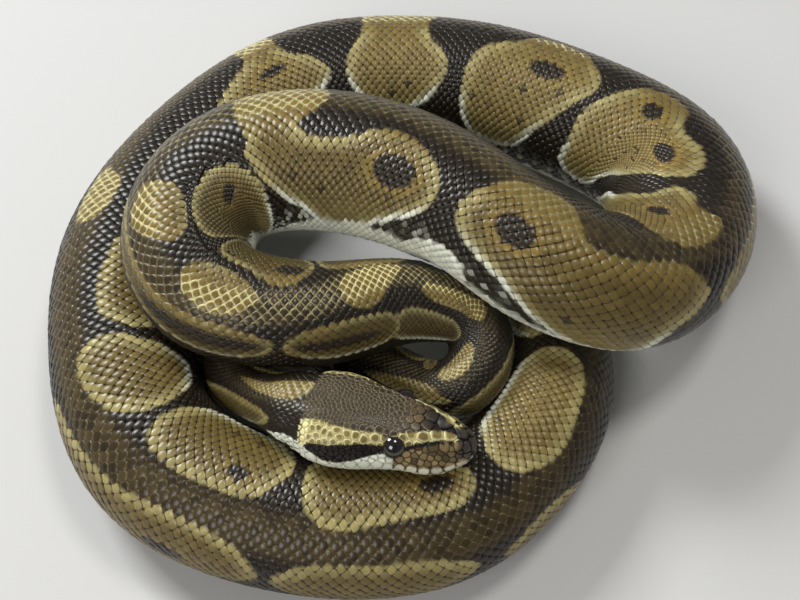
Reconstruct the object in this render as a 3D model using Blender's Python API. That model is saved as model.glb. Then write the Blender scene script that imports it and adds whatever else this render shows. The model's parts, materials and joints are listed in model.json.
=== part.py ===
"""A ball python at rest in a coil, life size.

The animal is one long tube of flesh. It starts at the head, which lies on the near side of the coil,
makes a small loop inside, doubles back as the upper loop, crosses the whole coil and then goes once
round as the outer ring, with its tail tucked away under the crossing. The tube is a loft of sections
along a smooth backbone. Where two turns of the coil press on each other, or on the floor, the flesh
is flat, and the sections are cut back to that flat. Thin gaps part the tube into named lengths.

Metres, +Z up. The origin is on the floor under the middle of the coil.
"""

import math

import bmesh
import bpy
import numpy as np

NAME = "ball_python"

GAP = 0.0003                # between two nodes that follow each other
CONTACT_GAP = 0.0005        # between two turns that press on each other
SIDES = 22                  # corners of a body section
RING_STEP = (0.0024, 0.30)  # spacing of sections: a fixed part, and a share of the half width
SAMPLE_STEP = 0.0020        # spacing of the backbone's samples
NEIGHBOUR = 3.0             # samples nearer along the body than this many radii never press

# The backbone, as (x, y, z, half width). A smooth curve passes through these points.
HEAD_AND_NECK = [
    (0.0163, -0.0665, 0.0364, 0.0080),
    (-0.0040, -0.0615, 0.0374, 0.0108),
    (-0.0227, -0.0575, 0.0372, 0.0120),
    (-0.0345, -0.0520, 0.0338, 0.0088),
    (-0.0487, -0.0385, 0.0240, 0.0085),
    (-0.0512, -0.0260, 0.0180, 0.0085),
    (-0.0447, -0.0155, 0.0145, 0.0086),
    (-0.0337, -0.0140, 0.0135, 0.0088),
]
INNER_LOOP = [
    (-0.0222, -0.0235, 0.0155, 0.0090),
    (-0.0067, -0.0355, 0.0205, 0.0091),
    (0.0071, -0.0437, 0.0245, 0.0091),
    (0.0161, -0.0415, 0.0275, 0.0092),
    (0.0202, -0.0327, 0.0297, 0.0093),
    (0.0168, -0.0243, 0.0322, 0.0098),
    (0.0078, -0.0213, 0.0347, 0.0112),
]
UPPER_LOOP = [
    (-0.0047, -0.0225, 0.0380, 0.0128),
    (-0.0222, -0.0280, 0.0415, 0.0147),
    (-0.0407, -0.0283, 0.0430, 0.0160),
    (-0.0562, -0.0212, 0.0430, 0.0175),
    (-0.0624, -0.0050, 0.0435, 0.0192),
    (-0.0555, 0.0113, 0.0460, 0.0203),
    (-0.0362, 0.0187, 0.0490, 0.0212),
]
CROSSING = [
    (-0.0087, 0.0147, 0.0500, 0.0212),
    (0.0143, 0.0022, 0.0500, 0.0199),
    (0.0328, -0.0114, 0.0480, 0.0195),
    (0.0488, -0.0168, 0.0430, 0.0201),
    (0.0638, -0.0126, 0.0350, 0.0214),
    (0.0781, 0.0043, 0.0265, 0.0225),
]
OUTER_RING = [
    (0.0837, 0.0252, 0.0210, 0.0229),
    (0.0778, 0.0432, 0.0185, 0.0228),
    (0.0543, 0.0610, 0.0178, 0.0224),
    (0.0238, 0.0747, 0.0175, 0.0220),
    (-0.0120, 0.0780, 0.0174, 0.0217),
    (-0.0402, 0.0693, 0.0174, 0.0217),
    (-0.0682, 0.0400, 0.0176, 0.0221),
    (-0.0827, 0.0078, 0.0178, 0.0225),
    (-0.0826, -0.0230, 0.0178, 0.0224),
    (-0.0739, -0.0523, 0.0176, 0.0221),
    (-0.0567, -0.0690, 0.0171, 0.0214),
    (-0.0284, -0.0787, 0.0163, 0.0203),
    (-0.0037, -0.0797, 0.0156, 0.0194),
    (0.0176, -0.0717, 0.0150, 0.0186),
    (0.0363, -0.0505, 0.0145, 0.0180),
    (0.0420, -0.0300, 0.0140, 0.0174),
]
TAIL = [
    (0.0373, 0.0065, 0.0122, 0.0151),
    (0.0228, 0.0260, 0.0114, 0.0137),
    (-0.0152, 0.0415, 0.0088, 0.0105),
    (-0.0447, 0.0378, 0.0048, 0.0055),
    (-0.0544, 0.0321, 0.0028, 0.0024),
]

# How deep the body is, as a share of its width, at distances from the snout.
DEPTH_STATIONS = [0.05, 0.20, 0.45, 0.95, 1.06]
DEPTH_SHARES = [0.94, 0.90, 0.85, 0.86, 0.95]

# The head's sections: distance behind the snout tip, half width, height above the axis, depth below
# it, and how far below the axis the lips meet.
HEAD_SECTIONS = [
    (0.0000, 0.0030, 0.0022, 0.0034, 0.0016),
    (0.0006, 0.0040, 0.0032, 0.0044, 0.0020),
    (0.0022, 0.0050, 0.0044, 0.0054, 0.0025),
    (0.0060, 0.0074, 0.0056, 0.0066, 0.0035),
    (0.0120, 0.0095, 0.0066, 0.0073, 0.0039),
    (0.0180, 0.0103, 0.0076, 0.0076, 0.0036),
    (0.0240, 0.0114, 0.0082, 0.0081, 0.0034),
    (0.0300, 0.0130, 0.0087, 0.0085, 0.0030),
    (0.0360, 0.0137, 0.0090, 0.0087, 0.0025),
    (0.0410, 0.0131, 0.0091, 0.0087, 0.0018),
    (0.0460, 0.0110, 0.0089, 0.0085, 0.0010),
]
HEAD_SPACING = 0.0022       # between head sections
SNOUT_RINGS = [0.0, 0.0006, 0.0022]
NAPE = 0.0560               # where the head's shape has become the neck's
JAW_FRONT = 0.0012          # the lower jaw starts this far behind the snout tip
JAW_HINGE = 0.0375          # and ends here, where cheek and throat are one
JAW_INSET = 0.95            # width of the lower jaw as a share of the upper
SQUARENESS = 0.88           # exponent of the head's sections: 1 is an ellipse, less is boxier

HEAD_ROLL = 7.0             # degrees that the head leans over to its left
ROLL_FADE = (0.0400, 0.0620)  # where along the neck that lean dies out

EYE_RADIUS = 0.0034
EYE_BACK = 0.0200           # eye centre behind the snout tip
EYE_OUT = 0.0074            # from the middle plane
EYE_UP = 0.0029             # above the head's axis
EYE_SEGMENTS = 16
EYE_RINGS = 10

# Where the thin cuts part the tube. They fall at the apex of each tight loop.
HEAD_END = 0.0470
CUTS = {
    "neck_1": 0.099,
    "neck_2": 0.150,
    "trunk_01": 0.188,
    "trunk_02": 0.240,
    "trunk_03": 0.293,
    "trunk_04": 0.346,
    "trunk_05": 0.401,
    "trunk_06": 0.456,
    "trunk_07": 0.508,
    "trunk_08": 0.565,
    "trunk_09": 0.625,
    "trunk_10": 0.685,
    "trunk_11": 0.745,
    "trunk_12": 0.805,
    "trunk_13": 0.865,
    "trunk_14": 0.925,
    "trunk_15": 0.980,
}
TAIL_NODE = "tail"


def natural_spline(points, per_span):
    """A curve with smooth bends through all the points, as per_span samples between two of them."""
    points = np.array(points, float)
    chords = np.linalg.norm(np.diff(points[:, :3], axis=0), axis=1)
    knots = np.concatenate([[0.0], np.cumsum(np.sqrt(chords))])
    spans = np.diff(knots)
    count = len(points)
    system = np.eye(count)
    right = np.zeros_like(points)
    for i in range(1, count - 1):
        system[i, i - 1:i + 2] = spans[i - 1], 2 * (spans[i - 1] + spans[i]), spans[i]
        slope_after = (points[i + 1] - points[i]) / spans[i]
        slope_before = (points[i] - points[i - 1]) / spans[i - 1]
        right[i] = 6 * (slope_after - slope_before)
    bend = np.linalg.solve(system, right)
    curve = []
    for i, span in enumerate(spans):
        for b in np.arange(per_span) / per_span * span:
            a = span - b
            cubic = (bend[i] * a**3 + bend[i + 1] * b**3) / (6 * span)
            start = (points[i] / span - bend[i] * span / 6) * a
            end = (points[i + 1] / span - bend[i + 1] * span / 6) * b
            curve.append(cubic + start + end)
    curve.append(points[-1])
    return np.array(curve)


class Body:
    """The backbone as even samples, with the frame and the size of the section at each."""

    def __init__(self):
        route = HEAD_AND_NECK + INNER_LOOP + UPPER_LOOP + CROSSING + OUTER_RING + TAIL
        curve = natural_spline(route, 24)
        steps = np.linalg.norm(np.diff(curve[:, :3], axis=0), axis=1)
        along = np.concatenate([[0.0], np.cumsum(steps)])
        self.length = along[-1]
        self.s = np.linspace(0.0, self.length, round(self.length / SAMPLE_STEP) + 1)
        rows = np.stack([np.interp(self.s, along, column) for column in curve.T], 1)
        self.centre = rows[:, :3]
        self.width = rows[:, 3]
        self.depth = self.width * np.interp(self.s, DEPTH_STATIONS, DEPTH_SHARES)
        self.radius = (self.width + self.depth) / 2
        tail_ward = np.gradient(self.centre, axis=0)
        tail_ward /= np.linalg.norm(tail_ward, axis=1)[:, None]
        left = np.cross(tail_ward, (0.0, 0.0, 1.0))
        left /= np.linalg.norm(left, axis=1)[:, None]
        up = np.cross(left, tail_ward)
        lean = np.radians(np.interp(self.s, ROLL_FADE, [HEAD_ROLL, 0.0]))[:, None]
        self.left = np.cos(lean) * left - np.sin(lean) * up
        self.up = np.cos(lean) * up + np.sin(lean) * left

    def at(self, values, s):
        """A sampled value at the distance s behind the snout tip."""
        if values.ndim == 1:
            return np.interp(s, self.s, values)
        return np.array([np.interp(s, self.s, column) for column in values.T])

    def outline(self, s, angles):
        """The free outline at s as (sideways, upward) offsets. Angle 0 is the middle of the back."""
        width, depth = self.at(self.width, s), self.at(self.depth, s)
        body = np.stack([width * np.sin(angles), depth * np.cos(angles)], 1)
        if s >= NAPE:
            return body
        share = min(max((s - HEAD_SECTIONS[-1][0]) / (NAPE - HEAD_SECTIONS[-1][0]), 0.0), 1.0)
        share = share * share * (3 - 2 * share)
        return (1 - share) * head_outline(s, angles) + share * body

    def section(self, s, angles, shape=None):
        """The section at s in space: its outline, cut back where another turn or the floor presses."""
        offsets = self.outline(s, angles)
        if shape is not None:
            offsets = shape(offsets)
        centre, left, up = (self.at(v, s) for v in (self.centre, self.left, self.up))
        rays = offsets[:, :1] * left + offsets[:, 1:] * up
        reach = np.linalg.norm(rays, axis=1)
        rays /= reach[:, None]
        radius = self.at(self.radius, s)
        others = np.abs(self.s - s) > NEIGHBOUR * radius
        away = self.centre[others] - centre
        facing = rays @ away.T
        middle = (away**2).sum(1) + radius**2 - self.radius[others] ** 2
        with np.errstate(divide="ignore"):
            limits = np.where(facing > 1e-6, middle / (2 * facing), np.inf)
        reach = np.minimum(reach, limits.min(1) - CONTACT_GAP / 2)
        falling = np.where(rays[:, 2] < 0, -rays[:, 2], 1e-9)
        reach = np.minimum(reach, centre[2] / falling)
        return centre + rays * reach[:, None]


def head_outline(s, angles):
    """The head's own outline at s: widest at the lips, with a lower jaw a little narrower than them."""
    table = np.array(HEAD_SECTIONS).T
    width, top, bottom, lip = (np.interp(s, table[0], column) for column in table[1:])
    sine, cosine = np.sin(angles), np.cos(angles)
    above = cosine >= 0
    sideways = width * np.sign(sine) * np.abs(sine) ** SQUARENESS * np.where(above, 1, JAW_INSET)
    rise = np.abs(cosine) ** SQUARENESS
    upward = np.where(above, (top + lip) * rise, -(bottom - lip) * rise) - lip
    return np.stack([sideways, upward], 1)


def lip_level(s):
    table = np.array(HEAD_SECTIONS).T
    return -np.interp(s, table[0], table[4])


def material(name, colour, roughness):
    made = bpy.data.materials.new(name)
    made.use_nodes = True
    shader = made.node_tree.nodes["Principled BSDF"]
    shader.inputs["Base Color"].default_value = (*colour, 1.0)
    shader.inputs["Roughness"].default_value = roughness
    shader.inputs["Metallic"].default_value = 0.0
    return made


def add_object(name, mesh, finish, collection):
    mesh.materials.append(finish)
    made = bpy.data.objects.new(name, mesh)
    collection.objects.link(made)
    return made


def loft(name, rings, finish, collection):
    """A closed skin over rings of equal length, with a flat cap at each end.

    The rings run from back to left, and follow each other towards the tail, so every face points out.
    """
    work = bmesh.new()
    rows = [[work.verts.new(point) for point in ring] for ring in rings]
    for near, far in zip(rows, rows[1:]):
        for i in range(len(near)):
            after = (i + 1) % len(near)
            work.faces.new((near[i], near[after], far[after], far[i]))
    work.faces.new(rows[0][::-1])
    work.faces.new(rows[-1])
    mesh = bpy.data.meshes.new(name)
    work.to_mesh(mesh)
    work.free()
    made = add_object(name, mesh, finish, collection)
    mesh.shade_smooth()
    mesh.set_sharp_from_angle(angle=math.radians(40))
    return made


def section_angles(count):
    """Even angles round a section, with one flat side at the bottom."""
    return (np.arange(count) + 0.5) / count * 2 * math.pi


def length_of_body(body, name, start, end, finish, collection):
    """One named length of neck, trunk or tail between two cuts."""
    spacing = RING_STEP[0] + RING_STEP[1] * body.at(body.width, (start + end) / 2)
    places = np.linspace(start, end, math.ceil((end - start) / spacing) + 1)
    angles = section_angles(SIDES)
    return loft(name, [body.section(s, angles) for s in places], finish, collection)


def head_places(start, end):
    """Sections from start to end: close together round the snout, even behind it."""
    snout = [s for s in SNOUT_RINGS if s > start]
    count = round((end - SNOUT_RINGS[-1]) / HEAD_SPACING)
    return [start] + snout + list(np.linspace(SNOUT_RINGS[-1], end, count + 1)[1:])


def upper_head(body, finish, collection):
    """Skull, upper jaw and cheeks. In front of the jaw hinge it ends flat at the lips."""
    angles = section_angles(SIDES)
    rings = []
    for s in head_places(0.0, JAW_HINGE):
        floor = lip_level(s) + GAP / 2
        rings.append(body.section(s, angles, lambda o: np.stack([o[:, 0], np.maximum(o[:, 1], floor)], 1)))
    for s in np.linspace(JAW_HINGE + GAP / 3, HEAD_END - GAP / 2, 6):
        rings.append(body.section(s, angles))
    return loft("head", rings, finish, collection)


def lower_jaw(body, finish, collection):
    angles = section_angles(SIDES)
    rings = []
    for s in head_places(JAW_FRONT, JAW_HINGE - GAP):
        roof = lip_level(s) - GAP / 2
        rings.append(body.section(s, angles, lambda o: np.stack([o[:, 0], np.minimum(o[:, 1], roof)], 1)))
    return loft("lower_jaw", rings, finish, collection)


def eyeball(name, place, radius, finish, collection):
    work = bmesh.new()
    bmesh.ops.create_uvsphere(work, u_segments=EYE_SEGMENTS, v_segments=EYE_RINGS, radius=radius)
    mesh = bpy.data.meshes.new(name)
    work.to_mesh(mesh)
    work.free()
    made = add_object(name, mesh, finish, collection)
    made.location = place
    mesh.shade_smooth()
    return made


def eyes(body, head, finish, collection, cutters):
    """Both eyes, each in a socket that a slightly larger ball cuts from the head."""
    centre, left, up = (body.at(v, EYE_BACK) for v in (body.centre, body.left, body.up))
    for name, side in (("eye_left", 1), ("eye_right", -1)):
        place = centre + side * EYE_OUT * left + EYE_UP * up
        eyeball(name, place, EYE_RADIUS, finish, collection)
        cutter = eyeball("socket_" + name, place, EYE_RADIUS + GAP, finish, cutters)
        cutter.hide_render = True
        cutter.display_type = "WIRE"
        socket = head.modifiers.new("socket_" + name, "BOOLEAN")
        socket.operation = "DIFFERENCE"
        socket.object = cutter


def main():
    for old in list(bpy.data.objects):
        bpy.data.objects.remove(old)
    collection = bpy.data.collections.new(NAME)
    cutters = bpy.data.collections.new("cutters")
    for new in (collection, cutters):
        bpy.context.scene.collection.children.link(new)

    skin = material("scaled_skin", (0.10, 0.065, 0.035), 0.42)
    cornea = material("eye", (0.012, 0.014, 0.018), 0.06)
    body = Body()
    head = upper_head(body, skin, collection)
    lower_jaw(body, skin, collection)
    eyes(body, head, cornea, collection, cutters)
    start = HEAD_END
    for name, end in CUTS.items():
        length_of_body(body, name, start + GAP / 2, end - GAP / 2, skin, collection)
        start = end
    length_of_body(body, TAIL_NODE, start + GAP / 2, body.length, skin, collection)


if __name__ == "__main__":
    main()
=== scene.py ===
# %% [markdown]
# # A ball python, coiled at rest
#
# A snake is one long tube under a coat of scales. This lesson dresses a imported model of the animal: one
# closed skin stands for all the flesh, some twenty-six thousand small scales lie on it like roof tiles,
# broad shields cross the belly, and fitted plates cover the head. One set of rules colours them all.
#
# Lengths are metres and +Z is up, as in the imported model. Distances along the snake start at the snout,
# and angles round it start at the middle of its back, with its left side positive.

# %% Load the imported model
import json
import math

import bmesh
import bpy
import numpy as np
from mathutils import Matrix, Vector
from mathutils.bvhtree import BVHTree
from mathutils.kdtree import KDTree

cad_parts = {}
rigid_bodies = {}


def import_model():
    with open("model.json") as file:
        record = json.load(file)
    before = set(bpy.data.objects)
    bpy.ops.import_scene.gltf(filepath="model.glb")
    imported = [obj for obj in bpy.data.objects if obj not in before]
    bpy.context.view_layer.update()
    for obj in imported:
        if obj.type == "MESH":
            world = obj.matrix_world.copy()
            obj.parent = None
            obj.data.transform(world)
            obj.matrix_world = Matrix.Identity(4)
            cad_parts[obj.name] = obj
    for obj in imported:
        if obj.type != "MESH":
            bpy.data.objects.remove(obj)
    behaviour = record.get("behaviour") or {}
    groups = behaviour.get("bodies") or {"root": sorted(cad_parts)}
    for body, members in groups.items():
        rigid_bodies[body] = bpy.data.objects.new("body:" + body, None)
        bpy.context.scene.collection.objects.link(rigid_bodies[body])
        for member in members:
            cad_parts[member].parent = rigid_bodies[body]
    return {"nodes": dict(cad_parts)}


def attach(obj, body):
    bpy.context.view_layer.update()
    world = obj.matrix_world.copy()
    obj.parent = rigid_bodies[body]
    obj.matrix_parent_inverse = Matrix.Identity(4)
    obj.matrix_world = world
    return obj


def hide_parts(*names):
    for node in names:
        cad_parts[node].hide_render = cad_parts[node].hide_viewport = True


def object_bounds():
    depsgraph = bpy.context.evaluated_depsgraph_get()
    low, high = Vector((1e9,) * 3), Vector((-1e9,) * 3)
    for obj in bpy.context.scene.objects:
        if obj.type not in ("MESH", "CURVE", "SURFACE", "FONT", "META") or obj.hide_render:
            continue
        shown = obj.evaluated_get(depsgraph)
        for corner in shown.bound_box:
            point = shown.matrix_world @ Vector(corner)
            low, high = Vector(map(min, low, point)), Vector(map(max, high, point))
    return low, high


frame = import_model()
cad_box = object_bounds()
MM = 0.001
dice = np.random.default_rng(53)
flesh = [name for name in frame["nodes"] if not name.startswith("eye")]
print(len(frame["nodes"]), "solids,", len(flesh), "of them flesh")

# %% [markdown]
# ## The backbone
#
# The scales have to follow the body, so the body's shape is needed as a function and not only as a mesh.
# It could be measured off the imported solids, but their cuts and facets would then show in the rows of
# scales. Instead these are the same driving points and sections that the solids were lofted from. A
# smooth curve through them gives the backbone, and each section is cut back where another turn or the
# floor presses on it.

# %% The route of the backbone, as x, y, z and half width
ROUTE = [
    (0.0163, -0.0665, 0.0364, 0.0080),
    (-0.0040, -0.0615, 0.0374, 0.0108),
    (-0.0227, -0.0575, 0.0372, 0.0120),
    (-0.0345, -0.0520, 0.0338, 0.0088),
    (-0.0487, -0.0385, 0.0240, 0.0085),
    (-0.0512, -0.0260, 0.0180, 0.0085),
    (-0.0447, -0.0155, 0.0145, 0.0086),
    (-0.0337, -0.0140, 0.0135, 0.0088),
    (-0.0222, -0.0235, 0.0155, 0.0090),
    (-0.0067, -0.0355, 0.0205, 0.0091),
    (0.0071, -0.0437, 0.0245, 0.0091),
    (0.0161, -0.0415, 0.0275, 0.0092),
    (0.0202, -0.0327, 0.0297, 0.0093),
    (0.0168, -0.0243, 0.0322, 0.0098),
    (0.0078, -0.0213, 0.0347, 0.0112),
    (-0.0047, -0.0225, 0.0380, 0.0128),
    (-0.0222, -0.0280, 0.0415, 0.0147),
    (-0.0407, -0.0283, 0.0430, 0.0160),
    (-0.0562, -0.0212, 0.0430, 0.0175),
    (-0.0624, -0.0050, 0.0435, 0.0192),
    (-0.0555, 0.0113, 0.0460, 0.0203),
    (-0.0362, 0.0187, 0.0490, 0.0212),
    (-0.0087, 0.0147, 0.0500, 0.0212),
    (0.0143, 0.0022, 0.0500, 0.0199),
    (0.0328, -0.0114, 0.0480, 0.0195),
    (0.0488, -0.0168, 0.0430, 0.0201),
    (0.0638, -0.0126, 0.0350, 0.0214),
    (0.0781, 0.0043, 0.0265, 0.0225),
    (0.0837, 0.0252, 0.0210, 0.0229),
    (0.0778, 0.0432, 0.0185, 0.0228),
    (0.0543, 0.0610, 0.0178, 0.0224),
    (0.0238, 0.0747, 0.0175, 0.0220),
    (-0.0120, 0.0780, 0.0174, 0.0217),
    (-0.0402, 0.0693, 0.0174, 0.0217),
    (-0.0682, 0.0400, 0.0176, 0.0221),
    (-0.0827, 0.0078, 0.0178, 0.0225),
    (-0.0826, -0.0230, 0.0178, 0.0224),
    (-0.0739, -0.0523, 0.0176, 0.0221),
    (-0.0567, -0.0690, 0.0171, 0.0214),
    (-0.0284, -0.0787, 0.0163, 0.0203),
    (-0.0037, -0.0797, 0.0156, 0.0194),
    (0.0176, -0.0717, 0.0150, 0.0186),
    (0.0363, -0.0505, 0.0145, 0.0180),
    (0.0420, -0.0300, 0.0140, 0.0174),
    (0.0373, 0.0065, 0.0122, 0.0151),
    (0.0228, 0.0260, 0.0114, 0.0137),
    (-0.0152, 0.0415, 0.0088, 0.0105),
    (-0.0447, 0.0378, 0.0048, 0.0055),
    (-0.0544, 0.0321, 0.0028, 0.0024),
]
DEPTH_STATIONS = [0.05, 0.20, 0.45, 0.95, 1.06]
DEPTH_SHARES = [0.94, 0.90, 0.85, 0.86, 0.95]    # how deep the body is there, as a share of its width
HEAD_LEAN = 7.0                # degrees that the head leans over to its left
LEAN_FADE = (0.0400, 0.0620)   # where along the neck that lean dies out
CONTACT_GAP = 0.0005           # between two turns that press on each other
SAMPLE_STEP = 0.0020
NEIGHBOUR = 3.0                # samples nearer along the body than this many radii never press
MID_WIDTH = 0.0215             # half width of the body at its middle
print(len(ROUTE), "driving points")

# %% A smooth curve through the route
def natural_spline(points, per_span):
    """A curve with smooth bends through all the points, as per_span samples between two of them."""
    points = np.array(points, float)
    chords = np.linalg.norm(np.diff(points[:, :3], axis=0), axis=1)
    knots = np.concatenate([[0.0], np.cumsum(np.sqrt(chords))])
    spans = np.diff(knots)
    system = np.eye(len(points))
    right = np.zeros_like(points)
    for i in range(1, len(points) - 1):
        system[i, i - 1:i + 2] = spans[i - 1], 2 * (spans[i - 1] + spans[i]), spans[i]
        slope_after = (points[i + 1] - points[i]) / spans[i]
        slope_before = (points[i] - points[i - 1]) / spans[i - 1]
        right[i] = 6 * (slope_after - slope_before)
    bend = np.linalg.solve(system, right)
    curve = []
    for i, span in enumerate(spans):
        for b in np.arange(per_span) / per_span * span:
            a = span - b
            cubic = (bend[i] * a**3 + bend[i + 1] * b**3) / (6 * span)
            start = (points[i] / span - bend[i] * span / 6) * a
            end = (points[i + 1] / span - bend[i + 1] * span / 6) * b
            curve.append(cubic + start + end)
    curve.append(points[-1])
    return np.array(curve)

# %% Sample the backbone evenly, with a frame at each sample
spine = natural_spline(ROUTE, 24)
along = np.concatenate([[0.0], np.cumsum(np.linalg.norm(np.diff(spine[:, :3], axis=0), axis=1))])
LENGTH = along[-1]
spine_s = np.linspace(0.0, LENGTH, round(LENGTH / SAMPLE_STEP) + 1)
spine_rows = np.stack([np.interp(spine_s, along, column) for column in spine.T], 1)
spine_centre = spine_rows[:, :3]
spine_width = spine_rows[:, 3]
spine_depth = spine_width * np.interp(spine_s, DEPTH_STATIONS, DEPTH_SHARES)
spine_radius = (spine_width + spine_depth) / 2
spine_tailward = np.gradient(spine_centre, axis=0)
spine_tailward /= np.linalg.norm(spine_tailward, axis=1)[:, None]
level_left = np.cross(spine_tailward, (0.0, 0.0, 1.0))
level_left /= np.linalg.norm(level_left, axis=1)[:, None]
level_up = np.cross(level_left, spine_tailward)
lean = np.radians(np.interp(spine_s, LEAN_FADE, [HEAD_LEAN, 0.0]))[:, None]
spine_left = np.cos(lean) * level_left - np.sin(lean) * level_up
spine_up = np.cos(lean) * level_up + np.sin(lean) * level_left
print(f"the snake is {LENGTH / MM:.0f} mm from snout to tail tip")


def at(values, s):
    """A value sampled along the backbone, at the distance s behind the snout."""
    if values.ndim == 1:
        return np.interp(s, spine_s, values)
    return np.array([np.interp(s, spine_s, column) for column in values.T])

# %% The head's own sections: distance, half width, top, bottom, drop to the lips
HEAD_SECTIONS = [
    (0.0000, 0.0030, 0.0022, 0.0034, 0.0016),
    (0.0006, 0.0040, 0.0032, 0.0044, 0.0020),
    (0.0022, 0.0050, 0.0044, 0.0054, 0.0025),
    (0.0060, 0.0074, 0.0056, 0.0066, 0.0035),
    (0.0120, 0.0095, 0.0066, 0.0073, 0.0039),
    (0.0180, 0.0103, 0.0076, 0.0076, 0.0036),
    (0.0240, 0.0114, 0.0082, 0.0081, 0.0034),
    (0.0300, 0.0130, 0.0087, 0.0085, 0.0030),
    (0.0360, 0.0137, 0.0090, 0.0087, 0.0025),
    (0.0410, 0.0131, 0.0091, 0.0087, 0.0018),
    (0.0460, 0.0110, 0.0089, 0.0085, 0.0010),
]
HEAD_TABLE = np.array(HEAD_SECTIONS).T
SKULL_END = HEAD_TABLE[0][-1]
NAPE = 0.0560                  # where the head's shape has become the neck's
JAW_INSET = 0.95               # width of the lower jaw as a share of the upper
SQUARENESS = 0.88              # exponent of the sections: 1 is an ellipse, less is boxier
print(len(HEAD_SECTIONS), "sections of the head, which is", 2 * HEAD_TABLE[1].max() / MM, "mm wide")

# %% Outlines of the sections
def ease(low, high, value):
    """0 up to low, 1 from high on, and a smooth step between them."""
    t = np.clip((value - low) / (high - low), 0, 1)
    return t * t * (3 - 2 * t)


def head_outline(s, angles):
    """The head's section at s, as offsets to the left and up."""
    width, top, bottom, lip = (np.interp(s, HEAD_TABLE[0], column) for column in HEAD_TABLE[1:])
    sine, cosine = np.sin(angles), np.cos(angles)
    above = cosine >= 0
    sideways = width * np.sign(sine) * np.abs(sine) ** SQUARENESS * np.where(above, 1, JAW_INSET)
    rise = np.abs(cosine) ** SQUARENESS
    upward = np.where(above, (top + lip) * rise, -(bottom - lip) * rise) - lip
    return np.stack([sideways, upward], 1)


def free_outline(s, angles):
    """The section at s with nothing pressing on it, as offsets to the left and up."""
    width, depth = at(spine_width, s), at(spine_depth, s)
    body = np.stack([width * np.sin(angles), depth * np.cos(angles)], 1)
    if s >= NAPE:
        return body
    share = ease(SKULL_END, NAPE, s)
    return (1 - share) * head_outline(s, angles) + share * body

# %% The section in space
def section(s, angles):
    """The section at s in space, cut back where another turn or the floor presses."""
    offsets = free_outline(s, angles)
    centre, left, up = (at(v, s) for v in (spine_centre, spine_left, spine_up))
    rays = offsets[:, :1] * left + offsets[:, 1:] * up
    reach = np.linalg.norm(rays, axis=1)
    rays /= reach[:, None]
    radius = at(spine_radius, s)
    others = np.abs(spine_s - s) > NEIGHBOUR * radius
    away = spine_centre[others] - centre
    facing = rays @ away.T
    middle = (away**2).sum(1) + radius**2 - spine_radius[others] ** 2
    with np.errstate(divide="ignore"):
        limits = np.where(facing > 1e-6, middle / (2 * facing), np.inf)
    reach = np.minimum(reach, limits.min(1) - CONTACT_GAP / 2)
    falling = np.where(rays[:, 2] < 0, -rays[:, 2], 1e-9)
    reach = np.minimum(reach, centre[2] / falling)
    return centre + rays * reach[:, None]

# %% [markdown]
# ## The surface as a grid
#
# A body that lies in coils also turns a little about its own length, so the middle of the back isn't
# always on top. The roll below says by how much. The grid then holds the true surface at each distance
# and each angle from the middle of the back. A grid is the simplest form of such a surface: any place on
# it is found by blending four points, and slopes and normals are differences between neighbours.

# %% Roll of the back, and the rows and columns of the grid
ROLL = {
    0.000: 0, 0.040: 0, 0.056: -22, 0.075: -14, 0.095: 0, 0.200: 0, 0.240: -10, 0.300: -12,
    0.320: -16, 0.340: -25, 0.360: -30, 0.390: -30, 0.410: -24, 0.430: -6, 0.450: 20, 0.470: 42,
    0.490: 50, 0.680: 50, 0.720: 47, 0.750: 43, 0.780: 37, 0.810: 33, 0.840: 36, 0.870: 42,
    0.900: 47, 0.930: 46, 0.960: 32, 1.000: 15, 1.030: 0,
}
COLUMNS = 112
HEAD_ROW, BODY_ROW = 0.0004, 0.0015
SNOUT_CAP = ((-0.0010, 0.04), (-0.0009, 0.40), (-0.0006, 0.72), (-0.0003, 0.90))


def roll_at(s):
    return np.interp(s, list(ROLL), list(ROLL.values()))


row_s = np.concatenate([
    np.arange(0.0, NAPE, HEAD_ROW),
    np.linspace(NAPE, LENGTH, round((LENGTH - NAPE) / BODY_ROW) + 1),
])
column_angle = np.arange(COLUMNS) * 360.0 / COLUMNS
grid = np.array([section(s, np.radians(column_angle + roll_at(s))) for s in row_s])
snout_middle = grid[0].mean(0)
cap_rows = [
    snout_middle + (grid[0] - snout_middle) * share + spine_tailward[0] * forward
    for forward, share in SNOUT_CAP
]
grid = np.concatenate([cap_rows, grid])
row_s = np.concatenate([[forward for forward, share in SNOUT_CAP], row_s])
print(grid.shape[0], "rows of", grid.shape[1])

# %% Relief of the head: brow, cheeks, hollows and folds
def bump_at(s, angle, place, angle_there, reach, angle_reach):
    """A soft hill of height 1, in millimetres along and degrees round."""
    return np.exp(-(((s / MM - place) / reach) ** 2) - ((angle - angle_there) / angle_reach) ** 2)


def signed(angle):
    """The angle from -180 to 180 degrees, above 0 on the snake's left."""
    return (np.asarray(angle) + 180.0) % 360.0 - 180.0


def side_of(angle):
    """The angle from 0 to 180 degrees, on either side."""
    return np.abs(signed(angle))


HILLS = (                      # height, place, angle, reach along and reach round
    (0.55, 20.0, 27, 3.6, 9),      # brow over the eye
    (0.30, 10.0, 18, 5.0, 7),      # ridge from brow to nostril
    (-0.60, 12.5, 48, 4.5, 11),    # hollow in front of the eye
    (-0.45, 7.5, 0, 4.0, 6),       # dip between the nostrils
    (0.45, 34.0, 50, 7.5, 20),     # jaw muscle
    (-0.60, 37.0, 0, 9.0, 9),      # furrow down the crown
    (-0.45, 26.0, 56, 3.5, 9),     # hollow behind the eye
    (0.30, 24.0, 76, 9.0, 7),      # full upper lip
    (0.95, 8.5, 87, 5.5, 14),      # deep lip at the snout
    (-0.50, 20.0, 104, 16.0, 7),   # fold under the lower lip
)


def head_relief(s, angle):
    """How far the head's surface stands off its plain section, in metres."""
    a = side_of(angle)
    return sum(height * bump_at(s, a, *where) for height, *where in HILLS) * MM


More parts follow.
